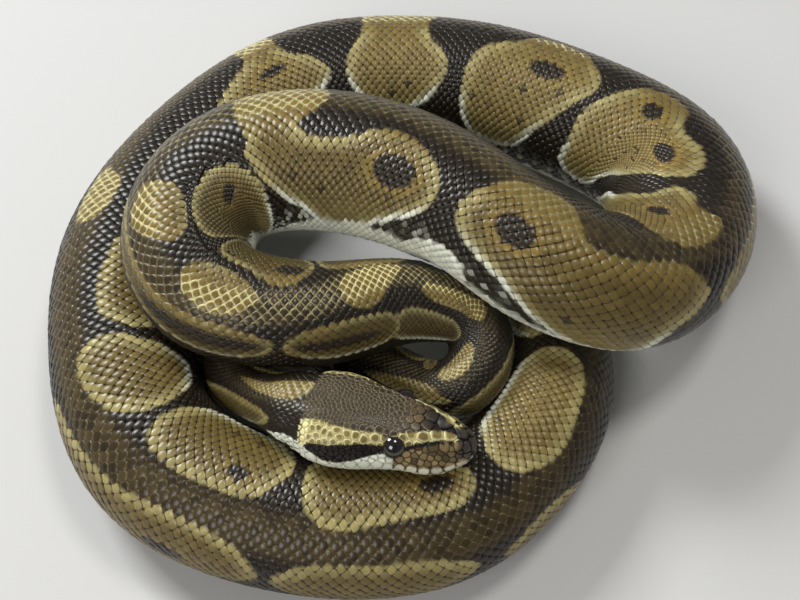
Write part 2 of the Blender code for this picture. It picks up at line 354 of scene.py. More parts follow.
def differentiate(points):
    """Slopes along rows and columns, and the unit normal that points out."""
    down = np.gradient(points, row_s, axis=0)
    wrapped = np.concatenate([points[:, -1:], points, points[:, :1]], 1)
    across = (wrapped[:, 2:] - wrapped[:, :-2]) / (2 * math.radians(360.0 / COLUMNS))
    out = np.cross(across, down)
    out /= np.linalg.norm(out, axis=2)[:, :, None] + 1e-12
    middle = points.mean(1)[:, None]
    return down, across, np.where(((points - middle) * out).sum(2)[:, :, None] < 0, -out, out)


grid_slopes = differentiate(grid)
relief = head_relief(row_s[:, None], column_angle[None, :])
grid = grid + grid_slopes[2] * relief[:, :, None]
slope_s, slope_angle, grid_normal = differentiate(grid)
print(f"head relief from {relief.min() / MM:.2f} to {relief.max() / MM:.2f} mm")

# %% Read the grid anywhere
def on_grid(values, s, angle):
    """Values of the grid at distances s and angles in degrees, blended between its points."""
    row = np.interp(s, row_s, np.arange(len(row_s)))
    column = (np.asarray(angle) / 360.0 % 1.0) * COLUMNS
    r0 = np.clip(row.astype(int), 0, len(row_s) - 2)
    c0 = column.astype(int) % COLUMNS
    c1 = (c0 + 1) % COLUMNS
    fr, fc = (row - r0)[:, None], (column - column.astype(int))[:, None]
    near = values[r0, c0] * (1 - fc) + values[r0, c1] * fc
    far = values[r0 + 1, c0] * (1 - fc) + values[r0 + 1, c1] * fc
    return near * (1 - fr) + far * fr


def point_at(s, angle):
    """One point of the surface."""
    return on_grid(grid, np.array([s]), np.array([angle]))[0]


def unit(vectors):
    return vectors / (np.linalg.norm(vectors, axis=-1, keepdims=True) + 1e-12)


HEAD_COAT_END = 0.044
HEAD_COAT, BODY_COAT, LEAST_COAT = 0.00030, 0.00064, 0.00022


def coat_depth(s):
    """How deep the coat is: finest on the head and at the tail's tip."""
    girth = np.sqrt(at(spine_width, s) / MID_WIDTH)
    return np.where(np.asarray(s) < HEAD_COAT_END, HEAD_COAT, np.maximum(BODY_COAT * girth, LEAST_COAT))


print("depth of the coat at mid body:", round(float(coat_depth(0.5)) / MM, 2), "mm")

# %% [markdown]
# ## The markings
#
# A ball python is chocolate brown with clay-coloured blotches, which turn gold on the back. Each blotch
# has a pale rim one or two scales wide, most hold a dark spot with a warm ring round it, and towards the
# belly everything fades to cream.
#
# A painted picture wrapped round the body would be the usual way, but drawn outlines stay sharp at any
# size, and the skin and the scales can both ask them for a colour. No two blotches are alike, so each is
# laid out as a few points, distance in mm and angle in degrees, and a smooth closed curve runs
# through them.

# %% Paints of the coat, as colours on a screen
def paint(red, green, blue):
    """A screen colour of 0 to 255 as the linear light that a shader takes."""
    share = np.array([red, green, blue]) / 255.0
    return np.where(share <= 0.04045, share / 12.92, ((share + 0.055) / 1.055) ** 2.4)


CHOCOLATE = paint(36, 29, 19)
BRONZE = paint(74, 61, 38)
CLAY = paint(108, 92, 49)
STRAW = paint(160, 147, 96)
GOLD = paint(120, 101, 52)
RUST = paint(140, 116, 58)
CREAM = paint(244, 247, 228)
SLATE = paint(92, 92, 80)
CROWN = paint(57, 48, 37)
LENS = paint(24, 18, 13)
LORE = paint(120, 102, 66)     # the side of the snout
SEAM_DARK = paint(22, 18, 12)
SEAM_OLIVE = paint(50, 41, 23)
# The pale edges of the scales along the back: partly their own colour, partly painted highlight.
SEAM_BACK_AND_GLINT = paint(146, 128, 78)
SEAM_PALE = paint(232, 224, 166)

# %% The blotches: an outline, then its spots as place, angle, reach along and reach round
def oval(place, angle, reach, reach_round):
    """The outline of a plain round blotch, a little uneven."""
    turns = np.arange(10) * 36.0
    uneven = 1 + 0.07 * np.sin(np.radians(turns * 2 + place * 40))
    found = []
    for turn, share in zip(turns, uneven):
        x, y = math.cos(math.radians(turn)), math.sin(math.radians(turn))
        found.append((place + reach * share * x, angle + reach_round * share * y))
    return found

# %% Blotches of the neck and the small inner loop
BLOTCHES = [
    ([(42.5, 12), (44.5, 23), (50, 22), (58, 17), (65, 5), (58, -1), (50, -6), (45, -2)], []),
    ([(50, -44), (53, -32), (60, -27), (67, -32), (72, -42), (77, -62), (80, -84), (74, -100),
      (64, -98), (58, -80), (53, -62)], []),
    (oval(66, 62, 12, 28), []),
    (oval(94, -70, 9, 30), [(94, -66, 3, 8)]),
    (oval(98, 66, 10, 30), [(98, 60, 3, 8)]),
    (oval(84, 4, 6, 13), []),
    (oval(112, -4, 8, 12), []),
    (oval(124, -68, 11, 30), []),
    (oval(128, 68, 10, 30), [(128, 64, 3, 8)]),
    ([(149, 42), (150, 32), (157, 22), (163, 13), (168, 16), (170, 30), (171, 48), (160, 44)], []),
    ([(151, -40), (153, -30), (159, -27), (162, -40), (160, -66), (153, -72), (150, -58)], []),
    ([(163, -30), (165, -17), (168, -22), (169, -45), (166, -64), (163, -60)], []),
    ([(170, 0), (173, 7), (178, 4), (182, -6), (186, -19), (185, -29), (179, -33), (172, -21)], []),
    (oval(180, 84, 10, 34), []),
    ([(193, 3), (196, 16), (200, 5), (207, 1), (213, 0), (214.5, -11), (211, -23), (204, -28),
      (197, -22), (194, -10)], []),
    ([(189, -60), (191, -43), (200, -45), (210, -39), (219, -34), (225, -45), (226, -62), (222, -80),
      (212, -90), (201, -92), (193, -80)], []),
    ([(219, 38), (226, 34), (234, 32), (239, 38), (241, 52), (240, 68), (230, 76), (220, 70), (216, 52)], []),
    ([(219, 22), (221, 32), (227, 31), (235, 20), (237, 0), (234, -20), (229, -22), (224, -2)], []),
    ([(223, -45), (226, -35), (234, -31), (243, -34), (249, -46), (250, -60), (246, -72), (238, -80),
      (228, -78), (223, -64)], [(238, -57, 10, 7)]),
    ([(242.5, 45), (244, 28), (248, 14), (253, 10), (258, 18), (262, 25), (268, 27), (273, 32), (275, 50),
      (274, 68), (266, 78), (254, 76), (245, 66)], [(249.5, 33, 4.2, 8)]),
    ([(252, -55), (255, -45), (263, -39), (275, -40), (287, -42), (297, -50), (298, -58), (290, -62),
      (280, -68), (272, -76), (262, -78), (255, -70)], [(267, -58, 13, 8)]),
]

# %% Blotches of the upper loop and the crossing
BLOTCHES += [
    ([(256, -6), (258, 4), (262, 13), (267, 16), (272, 12), (275, 2), (274.5, -10), (272, -22), (267, -30),
      (262, -27), (258, -16)], []),
    ([(283, 8), (286, 15), (291, 17), (296, 13), (300, 3), (300, -10), (299.5, -24), (296, -36),
      (292, -38), (288, -28), (285, -14), (283, -2)], []),
    ([(278, 45), (281, 30), (290, 22), (301, 22), (312, 31), (320, 46), (325, 66), (326, 92), (323, 114),
      (312, 132), (300, 140), (288, 128), (281, 96), (278, 70)], [(306.5, 50, 6, 6)]),
    ([(322.5, 42), (324, 30), (323, 10), (323, -12), (324, -32), (332, -37), (340, -34), (343.5, -18),
      (344.5, 0), (342.5, 17), (338, 30), (343, 41), (350, 42), (355, 38), (360, 30), (367, 26), (375, 32),
      (382, 47), (384.5, 65), (382, 82), (376, 96), (368, 110), (360, 128), (350, 128), (342, 106),
      (333, 88), (326, 66)], [(369.5, 59, 6.8, 14)]),
    (oval(310, -92, 16, 34), [(310, -86, 5, 9)]),
    (oval(352, -98, 17, 36), [(352, -92, 5, 9)]),
    ([(391, 58), (393, 35), (397, 12), (402, -2), (409, -10), (415, -9), (418, 6), (421, 19), (431, 18),
      (441, 13), (448, 22), (451, 38), (448, 56), (443, 72), (441, 90), (439, 116), (428, 122), (416, 104),
      (408, 90), (400, 82), (394, 74)], [(405.5, 46, 5.0, 13)]),
    (oval(396, -92, 17, 36), [(396, -86, 5, 9)]),
    ([(438, -40), (439, -30), (441, -16), (446, -3), (452, 3), (459, 1), (466, -6), (467, -16), (466, -28),
      (470, -38), (472, -55), (465, -68), (468, -90), (476, -112), (494, -132), (514, -147), (510, -158),
      (480, -158), (456, -146), (444, -124), (439, -96), (437, -66)], [(454.5, -41, 3.4, 8)]),
    ([(456, 55), (457, 40), (463, 29), (468, 20), (476, 16), (486, 12), (496, 10), (500, 20), (492, 34),
      (480, 48), (470, 62), (460, 68)], []),
]

# %% Blotches of the outer ring's far side
BLOTCHES += [
    ([(477.5, -66), (479, -50), (485, -40), (493, -39), (501, -45), (505.5, -36), (508, -25), (514, -21),
      (521, -28), (527, -45), (532, -65), (535, -83), (535, -102), (536, -126), (530, -140), (521, -138),
      (516, -124), (507, -115), (493, -110), (486, -98), (481, -82)],
     [(493, -68, 7.0, 8), (514.5, -49, 3.6, 9)]),
    ([(534, -50), (538, -33), (544, -17), (552, -11), (560, -18), (565, -33), (572, -46), (577, -65),
      (578, -88), (577, -112), (572, -132), (562, -140), (554, -136), (550, -124), (546, -106), (541, -86),
      (536, -66)], [(551.5, -55, 6, 9)]),
    ([(584, -78), (586, -62), (591, -48), (592, -25), (590, -5), (592, 8), (602, 12), (611, 5), (612, -20),
      (613, -40), (617, -58), (620, -78), (618, -98), (612, -112), (600, -118), (592, -110), (587, -95)], []),
    ([(626, -80), (629, -62), (636, -46), (638, -30), (637.5, -2), (642, 4), (647.5, -2), (649, -30),
      (655, -40), (666, -52), (670, -66), (664, -82), (650, -95), (636, -94)], [(645, -56, 5, 5)]),
    ([(699, -2), (701, -12), (703, -27), (707, -31), (712, -30), (717, -22), (718, -6), (714, 4),
      (705, 5)], []),
    (oval(503, 72, 16, 38), [(503, 66, 5, 9)]),
    (oval(545, 78, 17, 40), [(545, 72, 5, 9)]),
    (oval(589, 72, 16, 36), [(590, 66, 5, 8)]),
    (oval(632, 76, 18, 40), [(632, 70, 5, 9)]),
    (oval(679, 71, 19, 36), [(676, 66, 5, 9)]),
    (oval(728, 82, 17, 36), [(728, 76, 5, 9)]),
    (oval(694, -84, 17, 34), [(692, -78, 5, 8)]),
]

# %% Blotches of the outer ring's left and near side
BLOTCHES += [
    ([(724, -46), (731, -38), (738, -32), (747, -31), (751.5, -39), (755, -60), (753, -80), (742, -92),
      (730, -86), (723, -66)], []),
    ([(756, -40), (756.5, -22), (760, -9), (765, -6), (771, -10), (778, -21), (782, -38), (783, -56),
      (780.5, -74), (775, -87), (767, -90), (762, -76), (759, -60)], []),
    ([(786, -50), (788, -28), (795, -21), (810, -19), (819, -22), (825, -36), (828, -55), (826, -72),
      (816, -88), (800, -88), (790, -73)], [(814, -37, 3.2, 6)]),
    ([(831.5, -50), (832.5, -30), (837, -15), (844, -13), (851, -19), (860, -24), (871, -25), (877, -33),
      (879, -48), (876, -64), (866, -78), (850, -84), (838, -80), (832.5, -66)], [(868.5, -49, 5, 8)]),
    ([(886, -46), (889, -25), (896, -12), (904, -10), (912, -15), (921, -19), (926, -30), (928, -50),
      (926, -68), (920, -84), (907, -90), (895, -86), (889, -68)], []),
    ([(764, 30), (776, 20), (788, 15), (801, 9), (813, 11), (821, 20), (825, 36), (824, 50), (816, 64),
      (802, 78), (786, 74), (772, 56)], [(803, 50, 5, 8)]),
    ([(828, 44), (831, 28), (838, 17), (850, 13), (862, 12), (870, 24), (872, 36), (868, 50), (860, 64),
      (846, 70), (834, 62)], []),
    ([(878, 40), (882, 27), (889, 21), (896, 25), (901, 37), (902, 52), (897, 66), (887, 70), (880, 58)], []),
    (oval(918, 74, 13, 34), []),
]

# %% Blotches of the tail, and the white patch at the crossing
BLOTCHES += [
    (oval(945, -66, 13, 30), []),
    (oval(952, 66, 13, 32), []),
    (oval(966, -2, 8, 17), []),
    (oval(980, -62, 12, 32), []),
    (oval(990, 64, 11, 32), []),
    (oval(1010, -60, 10, 30), []),
    (oval(1022, 10, 7, 22), []),
    (oval(1044, -30, 8, 40), []),
]
WHITE_PATCH = [
    (380, 118), (383, 108), (388, 99), (394, 95), (399, 99), (401, 112), (400, 130), (392, 140), (382, 136),
]
print(len(BLOTCHES), "blotches,", sum(len(spots) for outline, spots in BLOTCHES), "spots")

# %% How deep a place lies in an outline or a spot
CURVE_STEPS = 5
FAR_OUT = -99.0                # the depth of a place that isn't near an outline, in mm
NEAR_EDGE = 4.0                # how far outside an outline depths are still worked out, in mm


def flat_place(s, angle, middle, radius):
    """Distance and angle as millimetres from a blotch's middle on the opened skin."""
    return s / MM - middle[0], np.radians(signed(angle - middle[1])) * radius


def smooth_closed(points):
    """A closed curve with no corners through the points."""
    points = np.array(points, float)
    before, after, beyond = (np.roll(points, shift, axis=0) for shift in (1, -1, -2))
    t = np.linspace(0, 1, CURVE_STEPS, endpoint=False)[:, None, None]
    square = 2 * before - 5 * points + 4 * after - beyond
    cube = 3 * points - before - 3 * after + beyond
    curve = points + 0.5 * ((after - before) * t + (square * t**2 + cube * t**3))
    return curve.transpose(1, 0, 2).reshape(-1, 2)


def inside(s, angle, outline):
    """How deep each place lies within an outline, in millimetres. Outside it is negative."""
    middle = np.mean(outline, 0)
    radius = at(spine_width, middle[0] * MM) / MM
    x, y = flat_place(s, angle, middle, radius)
    curve = smooth_closed(outline)
    corner = np.stack(flat_place(curve[:, 0] * MM, curve[:, 1], middle, radius), 1)
    depth = np.full(x.shape, FAR_OUT)
    reach = np.abs(corner).max(0) + NEAR_EDGE
    near = (np.abs(x) < reach[0]) & (np.abs(y) < reach[1])
    if not near.any():
        return depth
    place = np.stack([x[near], y[near]], 1)
    side = np.roll(corner, -1, axis=0) - corner
    offset = place[:, None] - corner
    share = np.clip((offset * side).sum(2) / ((side**2).sum(1) + 1e-9), 0, 1)
    away = np.linalg.norm(offset - share[..., None] * side, axis=2).min(1)
    upper = corner[:, 1] > place[:, 1:]
    crossing = upper != (np.roll(corner[:, 1], -1) > place[:, 1:])
    at_height = corner[:, 0] + (place[:, 1:] - corner[:, 1]) * side[:, 0] / (side[:, 1] + 1e-12)
    hits = (crossing & (place[:, :1] < at_height)).sum(1)
    depth[near] = np.where(hits % 2 == 1, away, -away)
    return depth


def within_spots(s, angle, spots):
    """How deep each place lies in the nearest of a blotch's spots, in millimetres."""
    deepest = np.full(np.shape(s), FAR_OUT)
    for place, there, reach, reach_round in spots:
        radius = at(spine_width, place * MM) / MM
        x, y = flat_place(s, angle, (place, there), radius)
        wide = math.radians(reach_round) * radius
        deepest = np.maximum(deepest, (1 - np.hypot(x / reach, y / wide)) * min(reach, wide))
    return deepest


def mixed(colour, other, share):
    """The first colour at a share of 0, the other at a share of 1."""
    share = np.asarray(share)[..., None]
    return colour * (1 - share) + other * share

# %% Where the belly starts and the pale-edged scales run
RIM = (1.0, 5.5)               # depth at which a blotch's rim starts to darken, and where it ends, in mm
HALO = 2.9                     # width of the warm ring round a spot
EDGE = 0.25                    # half the width over which a blotch's edge fades, in mm
PLAIN_BELLY = 128.0            # angle at which the flank turns to cream
LEFT_BELLY = (                 # and where the snake bends on the left, and on the right where painted shade runs under the belly: distances in mm, and angles
    (250, 268, 276, 290, 300, 312, 330, 345, 375, 440, 470),
    (128, 104, 82, 86, 100, 114, 122, 113, 113, 118, 128),
)
# On the right from 440 to 610 mm the flank's dark colour runs far under the belly, over the shields: painted
# shade where the coil presses closed.
RIGHT_BELLY_AND_SHADE = (
    (425, 440, 460, 520, 545, 580, 610, 640),
    (128, 150, 160, 162, 158, 148, 136, 128),
)
CLAY_TONE_AND_PAINTED_LIGHT = (                 # how light the middle of a blotch is along the body: partly its own tone, partly painted light and shade
    (300, 340, 440, 480, 640, 690, 876, 890, 922, 934),
    (1.0, 0.92, 0.92, 1.40, 1.40, 1.0, 1.0, 1.28, 1.28, 1.0),
)
LATTICE = (                    # how clear the pale lines are where a blotch crosses the back
    (70, 90, 380, 395, 455, 475, 720, 760),
    (0.65, 1.0, 1.0, 0.5, 0.5, 1.0, 1.0, 0.0),
)
SPINE_LEAN = (                 # how far off the middle of the back the pale-edged scales run, in degrees
    (150, 219, 228, 236, 244, 252, 260, 272, 292, 306, 314, 320, 330, 350, 380, 680, 700, 712, 740),
    (0, 15, 15, 6, -7, -12, -20, -28, -28, -31, -22, -13, -10, -5, 0, 0, -10, -12, 0),
)
SPINE_EDGES_AND_GLINTS = (                # and how strong their pale edges are on the dark back: partly their own colour, partly painted highlight
    (160, 190, 222, 254, 264, 300, 307, 317, 332, 400),
    (0.45, 0.38, 0.80, 0.80, 0.38, 0.38, 0.75, 0.75, 0.42, 0.50),
)


def off_spine(s, angle):
    """Degrees from the row of pale-edged scales along the back."""
    return side_of(angle - np.interp(s / MM, *SPINE_LEAN))


def belly_line(s, angle):
    """The angle from the middle of the back at which the flank turns to cream. On the right from 440 to 610
    mm it lies far under the belly, so the flank's colour runs on there as painted shade.
    """
    left, right = (np.interp(s / MM, *line) for line in (LEFT_BELLY, RIGHT_BELLY_AND_SHADE))
    return np.where(signed(angle) > 0, left, right)

# %% Colours of neck, trunk and tail
def body_colours(s, angle, luck):
    """Each place's scale colour and seam colour. luck is a number from 0 to 1 for each scale."""
    a = side_of(angle)

    # dark brown, with bronze scales and pale edges along the back, fewer of both from 880 mm on; the pale
    # edges are partly their own colour and partly painted highlight
    back = ease(25, 10, off_spine(s, angle))
    back = back * (0.5 + 0.5 * ease(0.19, 0.22, s)) * (1 - 0.5 * ease(0.880, 0.910, s))
    tint = mixed(CHOCOLATE, BRONZE, back * (0.35 + 0.5 * luck))
    edge = mixed(SEAM_BACK_AND_GLINT, SEAM_PALE, 0.45 * ease(0.42, 0.36, s))
    seam = mixed(SEAM_DARK, edge, back * np.interp(s / MM, *SPINE_EDGES_AND_GLINTS))

    # single grey and cream scales low on the flank
    line = belly_line(s, angle)
    low = ease(line - 30, line - 6, a)
    ashen = mixed(SLATE, CREAM, 0.45 * ease(0.62, 0.90, luck))
    tint = mixed(tint, ashen, low * (0.30 + 0.70 * ease(0.4, 0.6, luck)))

    # blotches, and last the cream of the belly
    for outline, spots in BLOTCHES:
        depth = inside(s, angle, outline)
        here = depth > -EDGE
        if here.any():
            cover = ease(-EDGE, EDGE, depth[here])
            body, lines = blotch_colours(s[here], angle[here], luck[here], depth[here], spots)
            tint[here] = mixed(tint[here], body, cover)
            seam[here] = mixed(seam[here], lines, cover)
    belly = ease(line - 4, line + 4, a + 8 * (luck - 0.5))
    white = np.maximum(belly, ease(-0.2, 0.4, inside(s, angle, WHITE_PATCH)))
    tint = mixed(tint, CREAM, white)
    seam = mixed(seam, CREAM * 0.65, white)
    return tint * (1 + 0.30 * (luck - 0.5))[..., None], seam


def blotch_colours(s, angle, luck, depth, spots):
    """Scale and seam colours in a blotch: a pale rim, a clay or gold middle, dark spots in warm rings, and
    painted light and shade along the body.
    """
    a = side_of(angle)
    spine = off_spine(s, angle)
    gold = ease(46, 26, spine) * ease(52, 40, a) * ease(0.76, 0.72, s)
    lattice = ease(27, 17, spine) * ease(46, 36, a) * np.interp(s / MM, *LATTICE)
    lowness = a - np.maximum(belly_line(s, angle) - PLAIN_BELLY, 0)
    flank = ease(78, 108, lowness)
    front = ease(0.33, 0.28, s) * (1 - gold)
    core = ease(*RIM, depth * (1 + 0.9 * front))
    # Painted shade: from 745 to 940 mm the pale rims on the left flank, the outside of the ring, are dulled
    # towards clay.
    painted_shade = ease(0.745, 0.765, s) * ease(0.94, 0.92, s) * ease(30, 55, signed(angle))
    rim = mixed(mixed(STRAW, CLAY * 1.15, painted_shade), GOLD, gold)
    rim = mixed(rim, CREAM, ease(66, 96, lowness) * ease(2.8, 1.2, depth))
    # The middles are partly their own tone and partly painted light and shade: lighter from 480 to 640 mm and
    # from 890 to 922 mm, darker on the upper loop and crossing.
    clay = CLAY * np.interp(s / MM, *CLAY_TONE_AND_PAINTED_LIGHT)[..., None]
    centre = mixed(mixed(clay, GOLD, gold), STRAW, 0.5 * flank)
    body = mixed(rim, centre, core)
    lines = mixed(mixed(SEAM_OLIVE, SEAM_OLIVE * 2.2, gold), SEAM_PALE, lattice)
    lines = mixed(lines, STRAW * 0.6, flank)
    spot = within_spots(s, angle, spots)
    warmth = 0.30 + 0.40 * ease(0.33, 0.35, s) * ease(0.56, 0.48, s)
    body = mixed(body, mixed(RUST, GOLD, gold), warmth * ease(-HALO, -0.4 * HALO, spot))
    # Blotches up to about 300 mm, on the neck and the inner loop, are darker, most in their middles: partly
    # painted shade, partly their own darker middles.
    body = body * (1 - front * (0.12 + 0.33 * ease(0.4, 1.6, depth)))[..., None]
    fleck = ease(0.970, 0.985, luck) * ease(50, 75, a) * core
    dark = np.maximum(ease(-0.3, 0.4, spot), 0.85 * fleck)
    return mixed(body, CHOCOLATE * 1.5, dark), mixed(lines, SEAM_DARK, dark)

# %% Where the head's markings lie
HEAD_MARKS_END = 0.0425
JOWL_END = 0.0510
CHEEK_END = 19.6               # where the brown of the snout's side ends below the eye, in mm
HEAD_LINES = {                 # edges of the head's markings: distances in mm, and angles
    "ridge top": ((4.5, 8, 10, 12, 15, 18, 20.5), (7, 7, 10, 14, 21, 27, 33)),
    "ridge low": ((4.5, 8, 10, 12, 15, 17.5, 20.5), (22, 24, 28, 32, 41, 50, 50)),
    "brow top": ((21, 25, 30, 33, 36, 39.5, 42), (38, 32, 32.5, 31, 29.5, 28, 30)),
    "brow low": ((22, 26, 30, 33, 37, 39, 42), (50, 50, 52, 55, 58, 62, 70)),
    "lens middle": ((22, 28, 33, 37, 41), (56, 60, 66, 69, 67)),
    "lens half": ((22, 25, 28, 33, 37, 40, 41.4), (6, 8, 10.5, 13.5, 12, 7, 0)),
    "lip top": ((19.5, 22, 24, 28, 31, 34, 37, 40, 43, 50), (66, 63, 63, 69, 75, 77, 75, 70, 64, 58)),
    "jowl top": ((42.5, 46, 51), (63, 60, 66)),
    "jowl low": ((42.5, 46, 51), (88, 80, 68)),
}
BROW = paint(120, 100, 66)
NOSE = paint(40, 34, 30)
NOSE_SIDE = paint(66, 60, 54)
WRINKLE = paint(158, 146, 116)
LORE_PALE = paint(146, 126, 86)
STRIPE = paint(130, 113, 64)


def laid_over(mask, colour, under):
    """The colour where the mask is true, and what is under it elsewhere."""
    return np.where(mask[..., None], colour, under)


def lowered(s, angle):
    """The angle from the middle of the back. On the head's left the markings lie lower."""
    a = side_of(angle)
    drop = np.interp(a, (0, 20, 75, 90), (0, 1, 1, 0)) * np.interp(s / MM, (5, 9), (2, 11))
    return a - np.where(signed(angle) > 0, drop, 0)

# %% Colours of the head
def head_colours(s, angle, luck):
    """A dark crown, gold stripes over the eye, a dark lens behind it and a cream lip."""
    mm = s / MM
    a = lowered(s, angle)
    grain = (luck - 0.5)[..., None]
    line = {name: np.interp(mm, *table) for name, table in HEAD_LINES.items()}

    # crown and nose
    tint = mixed(CROWN, BROW, 0.55 * bump_at(s, a, 16.0, 8, 2.2, 14) + 0.25 * ease(0.80, 0.95, luck))
    tint = mixed(tint, NOSE, ease(14, 9, mm))
    seam = mixed(tint * 0.6, WRINKLE, 0.60 * ease(14, 20, mm))

    # side of the snout, with a dark line below the ridge
    cheek = (a > line["ridge low"]) & (mm < CHEEK_END)
    lore = mixed(LORE, LORE_PALE, ease(0.35, 0.8, luck))
    lore = mixed(lore, LENS * 1.8, ease(0.30, 0.10, luck) * 0.6)
    tint = laid_over(cheek, lore, tint)
    seam = laid_over(cheek, lore * 0.55, seam)
    tint = laid_over(cheek & (a > 77), mixed(lore, CREAM, 0.30 + 0.35 * luck), tint)
    under_ridge = cheek & (a < line["ridge low"] + 8) & (mm > 7)
    tint = laid_over(under_ridge, LENS * 1.3, tint)
    seam = laid_over(under_ridge, LENS, seam)
    nose = ease(4.6, 2.6, mm) * ease(75, 55, a)
    tint = mixed(tint, NOSE_SIDE, nose)
    seam = mixed(seam, SEAM_DARK, nose)

    # gold stripe, in front of the eye and behind it, with a pale end
    ridge = (mm > 4.2) & (mm < 20.8) & (a > line["ridge top"]) & (a < line["ridge low"])
    brow = (mm > 20.5) & (mm < 42) & (a > line["brow top"]) & (a < line["brow low"])
    tint = laid_over(ridge | brow, STRIPE * (1 + 0.35 * grain), tint)
    seam = laid_over(ridge | brow, SEAM_PALE, seam)
    edge = (mm > 40.6) & (mm < 43) & (a > line["brow top"]) & (a < 84)
    tint = laid_over(edge, SEAM_PALE, tint)

    # throat, lips and the lens behind the eye
    throat = (a > 90) | ((a > line["lip top"]) & (mm > 19.4) & (mm < 51))
    tint = laid_over(throat, CREAM * (1 + 0.12 * grain), tint)
    seam = laid_over(throat, CREAM * 0.72, seam)
    tint = laid_over((a > 90) & (mm < 19.4), mixed(lore, CREAM, 0.4), tint)
    dark = (np.abs(a - line["lens middle"]) < line["lens half"]) & (mm > 21.5) & (mm < 41.4)
    tint = laid_over(dark, LENS * (1 + 0.8 * grain), tint)
    seam = laid_over(dark, LENS * 0.9, seam)
    return tint * (1 + 0.18 * grain), seam


def colours(s, angle, luck):
    """Scale and seam colours anywhere on the snake, from the one rule that skin and coat share."""
    tint, seam = body_colours(s, angle, luck)
    on_head = s < HEAD_MARKS_END
    if on_head.any():
        head_tint, head_seam = head_colours(s, angle, luck)
        tint, seam = laid_over(on_head, head_tint, tint), laid_over(on_head, head_seam, seam)
    top, low = (np.interp(s / MM, *HEAD_LINES[name]) for name in ("jowl top", "jowl low"))
    a = side_of(angle)
    jowl = (s >= HEAD_MARKS_END) & (s < JOWL_END) & (a > top) & (a < low)
    chin = (s < 0.060) & (a > 112)
    tint = laid_over(jowl | chin, CREAM, tint)
    return np.clip(tint, 0, 1), np.clip(seam, 0, 1)

# %% [markdown]
# ## Small helpers for meshes and materials
#
# Shader maths reads best as sums, so one small class wraps a socket and turns each operator into a Math
# node. Its method node makes every other node, and applies its settings before its inputs.

# %% Sockets that can be added and multiplied
class Socket:
    """A socket of a node tree. Its operators add Math nodes, and node adds any other."""

    def __init__(self, tree, socket=None):
        self.tree = tree
        self.socket = socket

    def feed(self, slot, value):
        if isinstance(value, Socket):
            self.tree.links.new(value.socket, slot)
        else:
            slot.default_value = value

    def node(self, kind, settings=None, inputs=None, output=0):
        made = self.tree.nodes.new(kind)
        for name, value in (settings or {}).items():
            setattr(made, name, value)
        for name, value in (inputs or {}).items():
            self.feed(made.inputs[name], value)
        return Socket(self.tree, made.outputs[output] if made.outputs else None)

    def maths(self, operation, first, second):
        return self.node("ShaderNodeMath", {"operation": operation}, {0: first, 1: second})

    def __add__(self, other):
        return self.maths("ADD", self, other)

    def __sub__(self, other):
        return self.maths("SUBTRACT", self, other)

    def __rsub__(self, other):
        return self.maths("SUBTRACT", other, self)

    def __mul__(self, other):
        return self.maths("MULTIPLY", self, other)

    __radd__ = __add__
    __rmul__ = __mul__

# %% Materials, attributes and objects
def new_material(name, **settings):
    """A material, its tree and its Principled shader, with the fixed settings put on the shader itself."""
    made = bpy.data.materials.new(name)
    made.use_nodes = True
    shader = made.node_tree.nodes["Principled BSDF"]
    for socket, value in settings.items():
        shader.inputs[socket.replace("_", " ")].default_value = value
    return Socket(made.node_tree), shader, made


def put(mesh, name, kind, domain, values):
    """Stores values as a named attribute of the mesh."""
    field = {"FLOAT": "value", "FLOAT_COLOR": "color", "FLOAT_VECTOR": "vector", "FLOAT2": "vector"}[kind]
    made = mesh.attributes.new(name, kind, domain)
    made.data.foreach_set(field, np.asarray(values, np.float32).ravel())


def put_colours(mesh, tint=None, seam=None):
    """Stores colours as the attributes that the finishes read."""
    for name, colour in (("tint", tint), ("seam", seam)):
        if colour is not None:
            opaque = np.concatenate([colour, np.ones(colour.shape[:-1] + (1,))], -1)
            put(mesh, name, "FLOAT_COLOR", "POINT", opaque)


def at_corners(mesh, values):
    """Values of the points, given again for every corner of the faces."""
    vertex = np.empty(len(mesh.loops), np.int32)
    mesh.loops.foreach_get("vertex_index", vertex)
    return values[vertex]


def show(name, data):
    """Adds an object to the scene."""
    made = bpy.data.objects.new(name, data)
    bpy.context.scene.collection.objects.link(made)
    return made


def new_object(name, points, faces, finish=None):
    mesh = bpy.data.meshes.new(name)
    mesh.from_pydata(points.tolist(), [], faces)
    if faces:
        mesh.shade_smooth()
    if finish:
        mesh.materials.append(finish)
    return show(name, mesh)


BOX_GAP = 0.00001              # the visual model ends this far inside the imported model's box


def keep_inside(made):
    """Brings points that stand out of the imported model's box back onto its sides."""
    points = np.empty(3 * len(made.data.vertices), np.float32)
    made.data.vertices.foreach_get("co", points)
    low, high = np.array(cad_box)
    points = np.clip(points.reshape(-1, 3), low + BOX_GAP, high - BOX_GAP)
    made.data.vertices.foreach_set("co", points.ravel())
    made.data.update()

# %% [markdown]
# ## Finishes
#
# A scale is a thin plate of horn: coloured from below, clear and smooth on top, so it has a satin shine
# with a fine grain in it. A pattern across the whole body would let colours run over the edges, but on
# the animal each scale has its own. So the colour comes from two attributes of the mesh, the scale's
# tint and the seam around it, and a third one says how near a point is to the scale's edge.

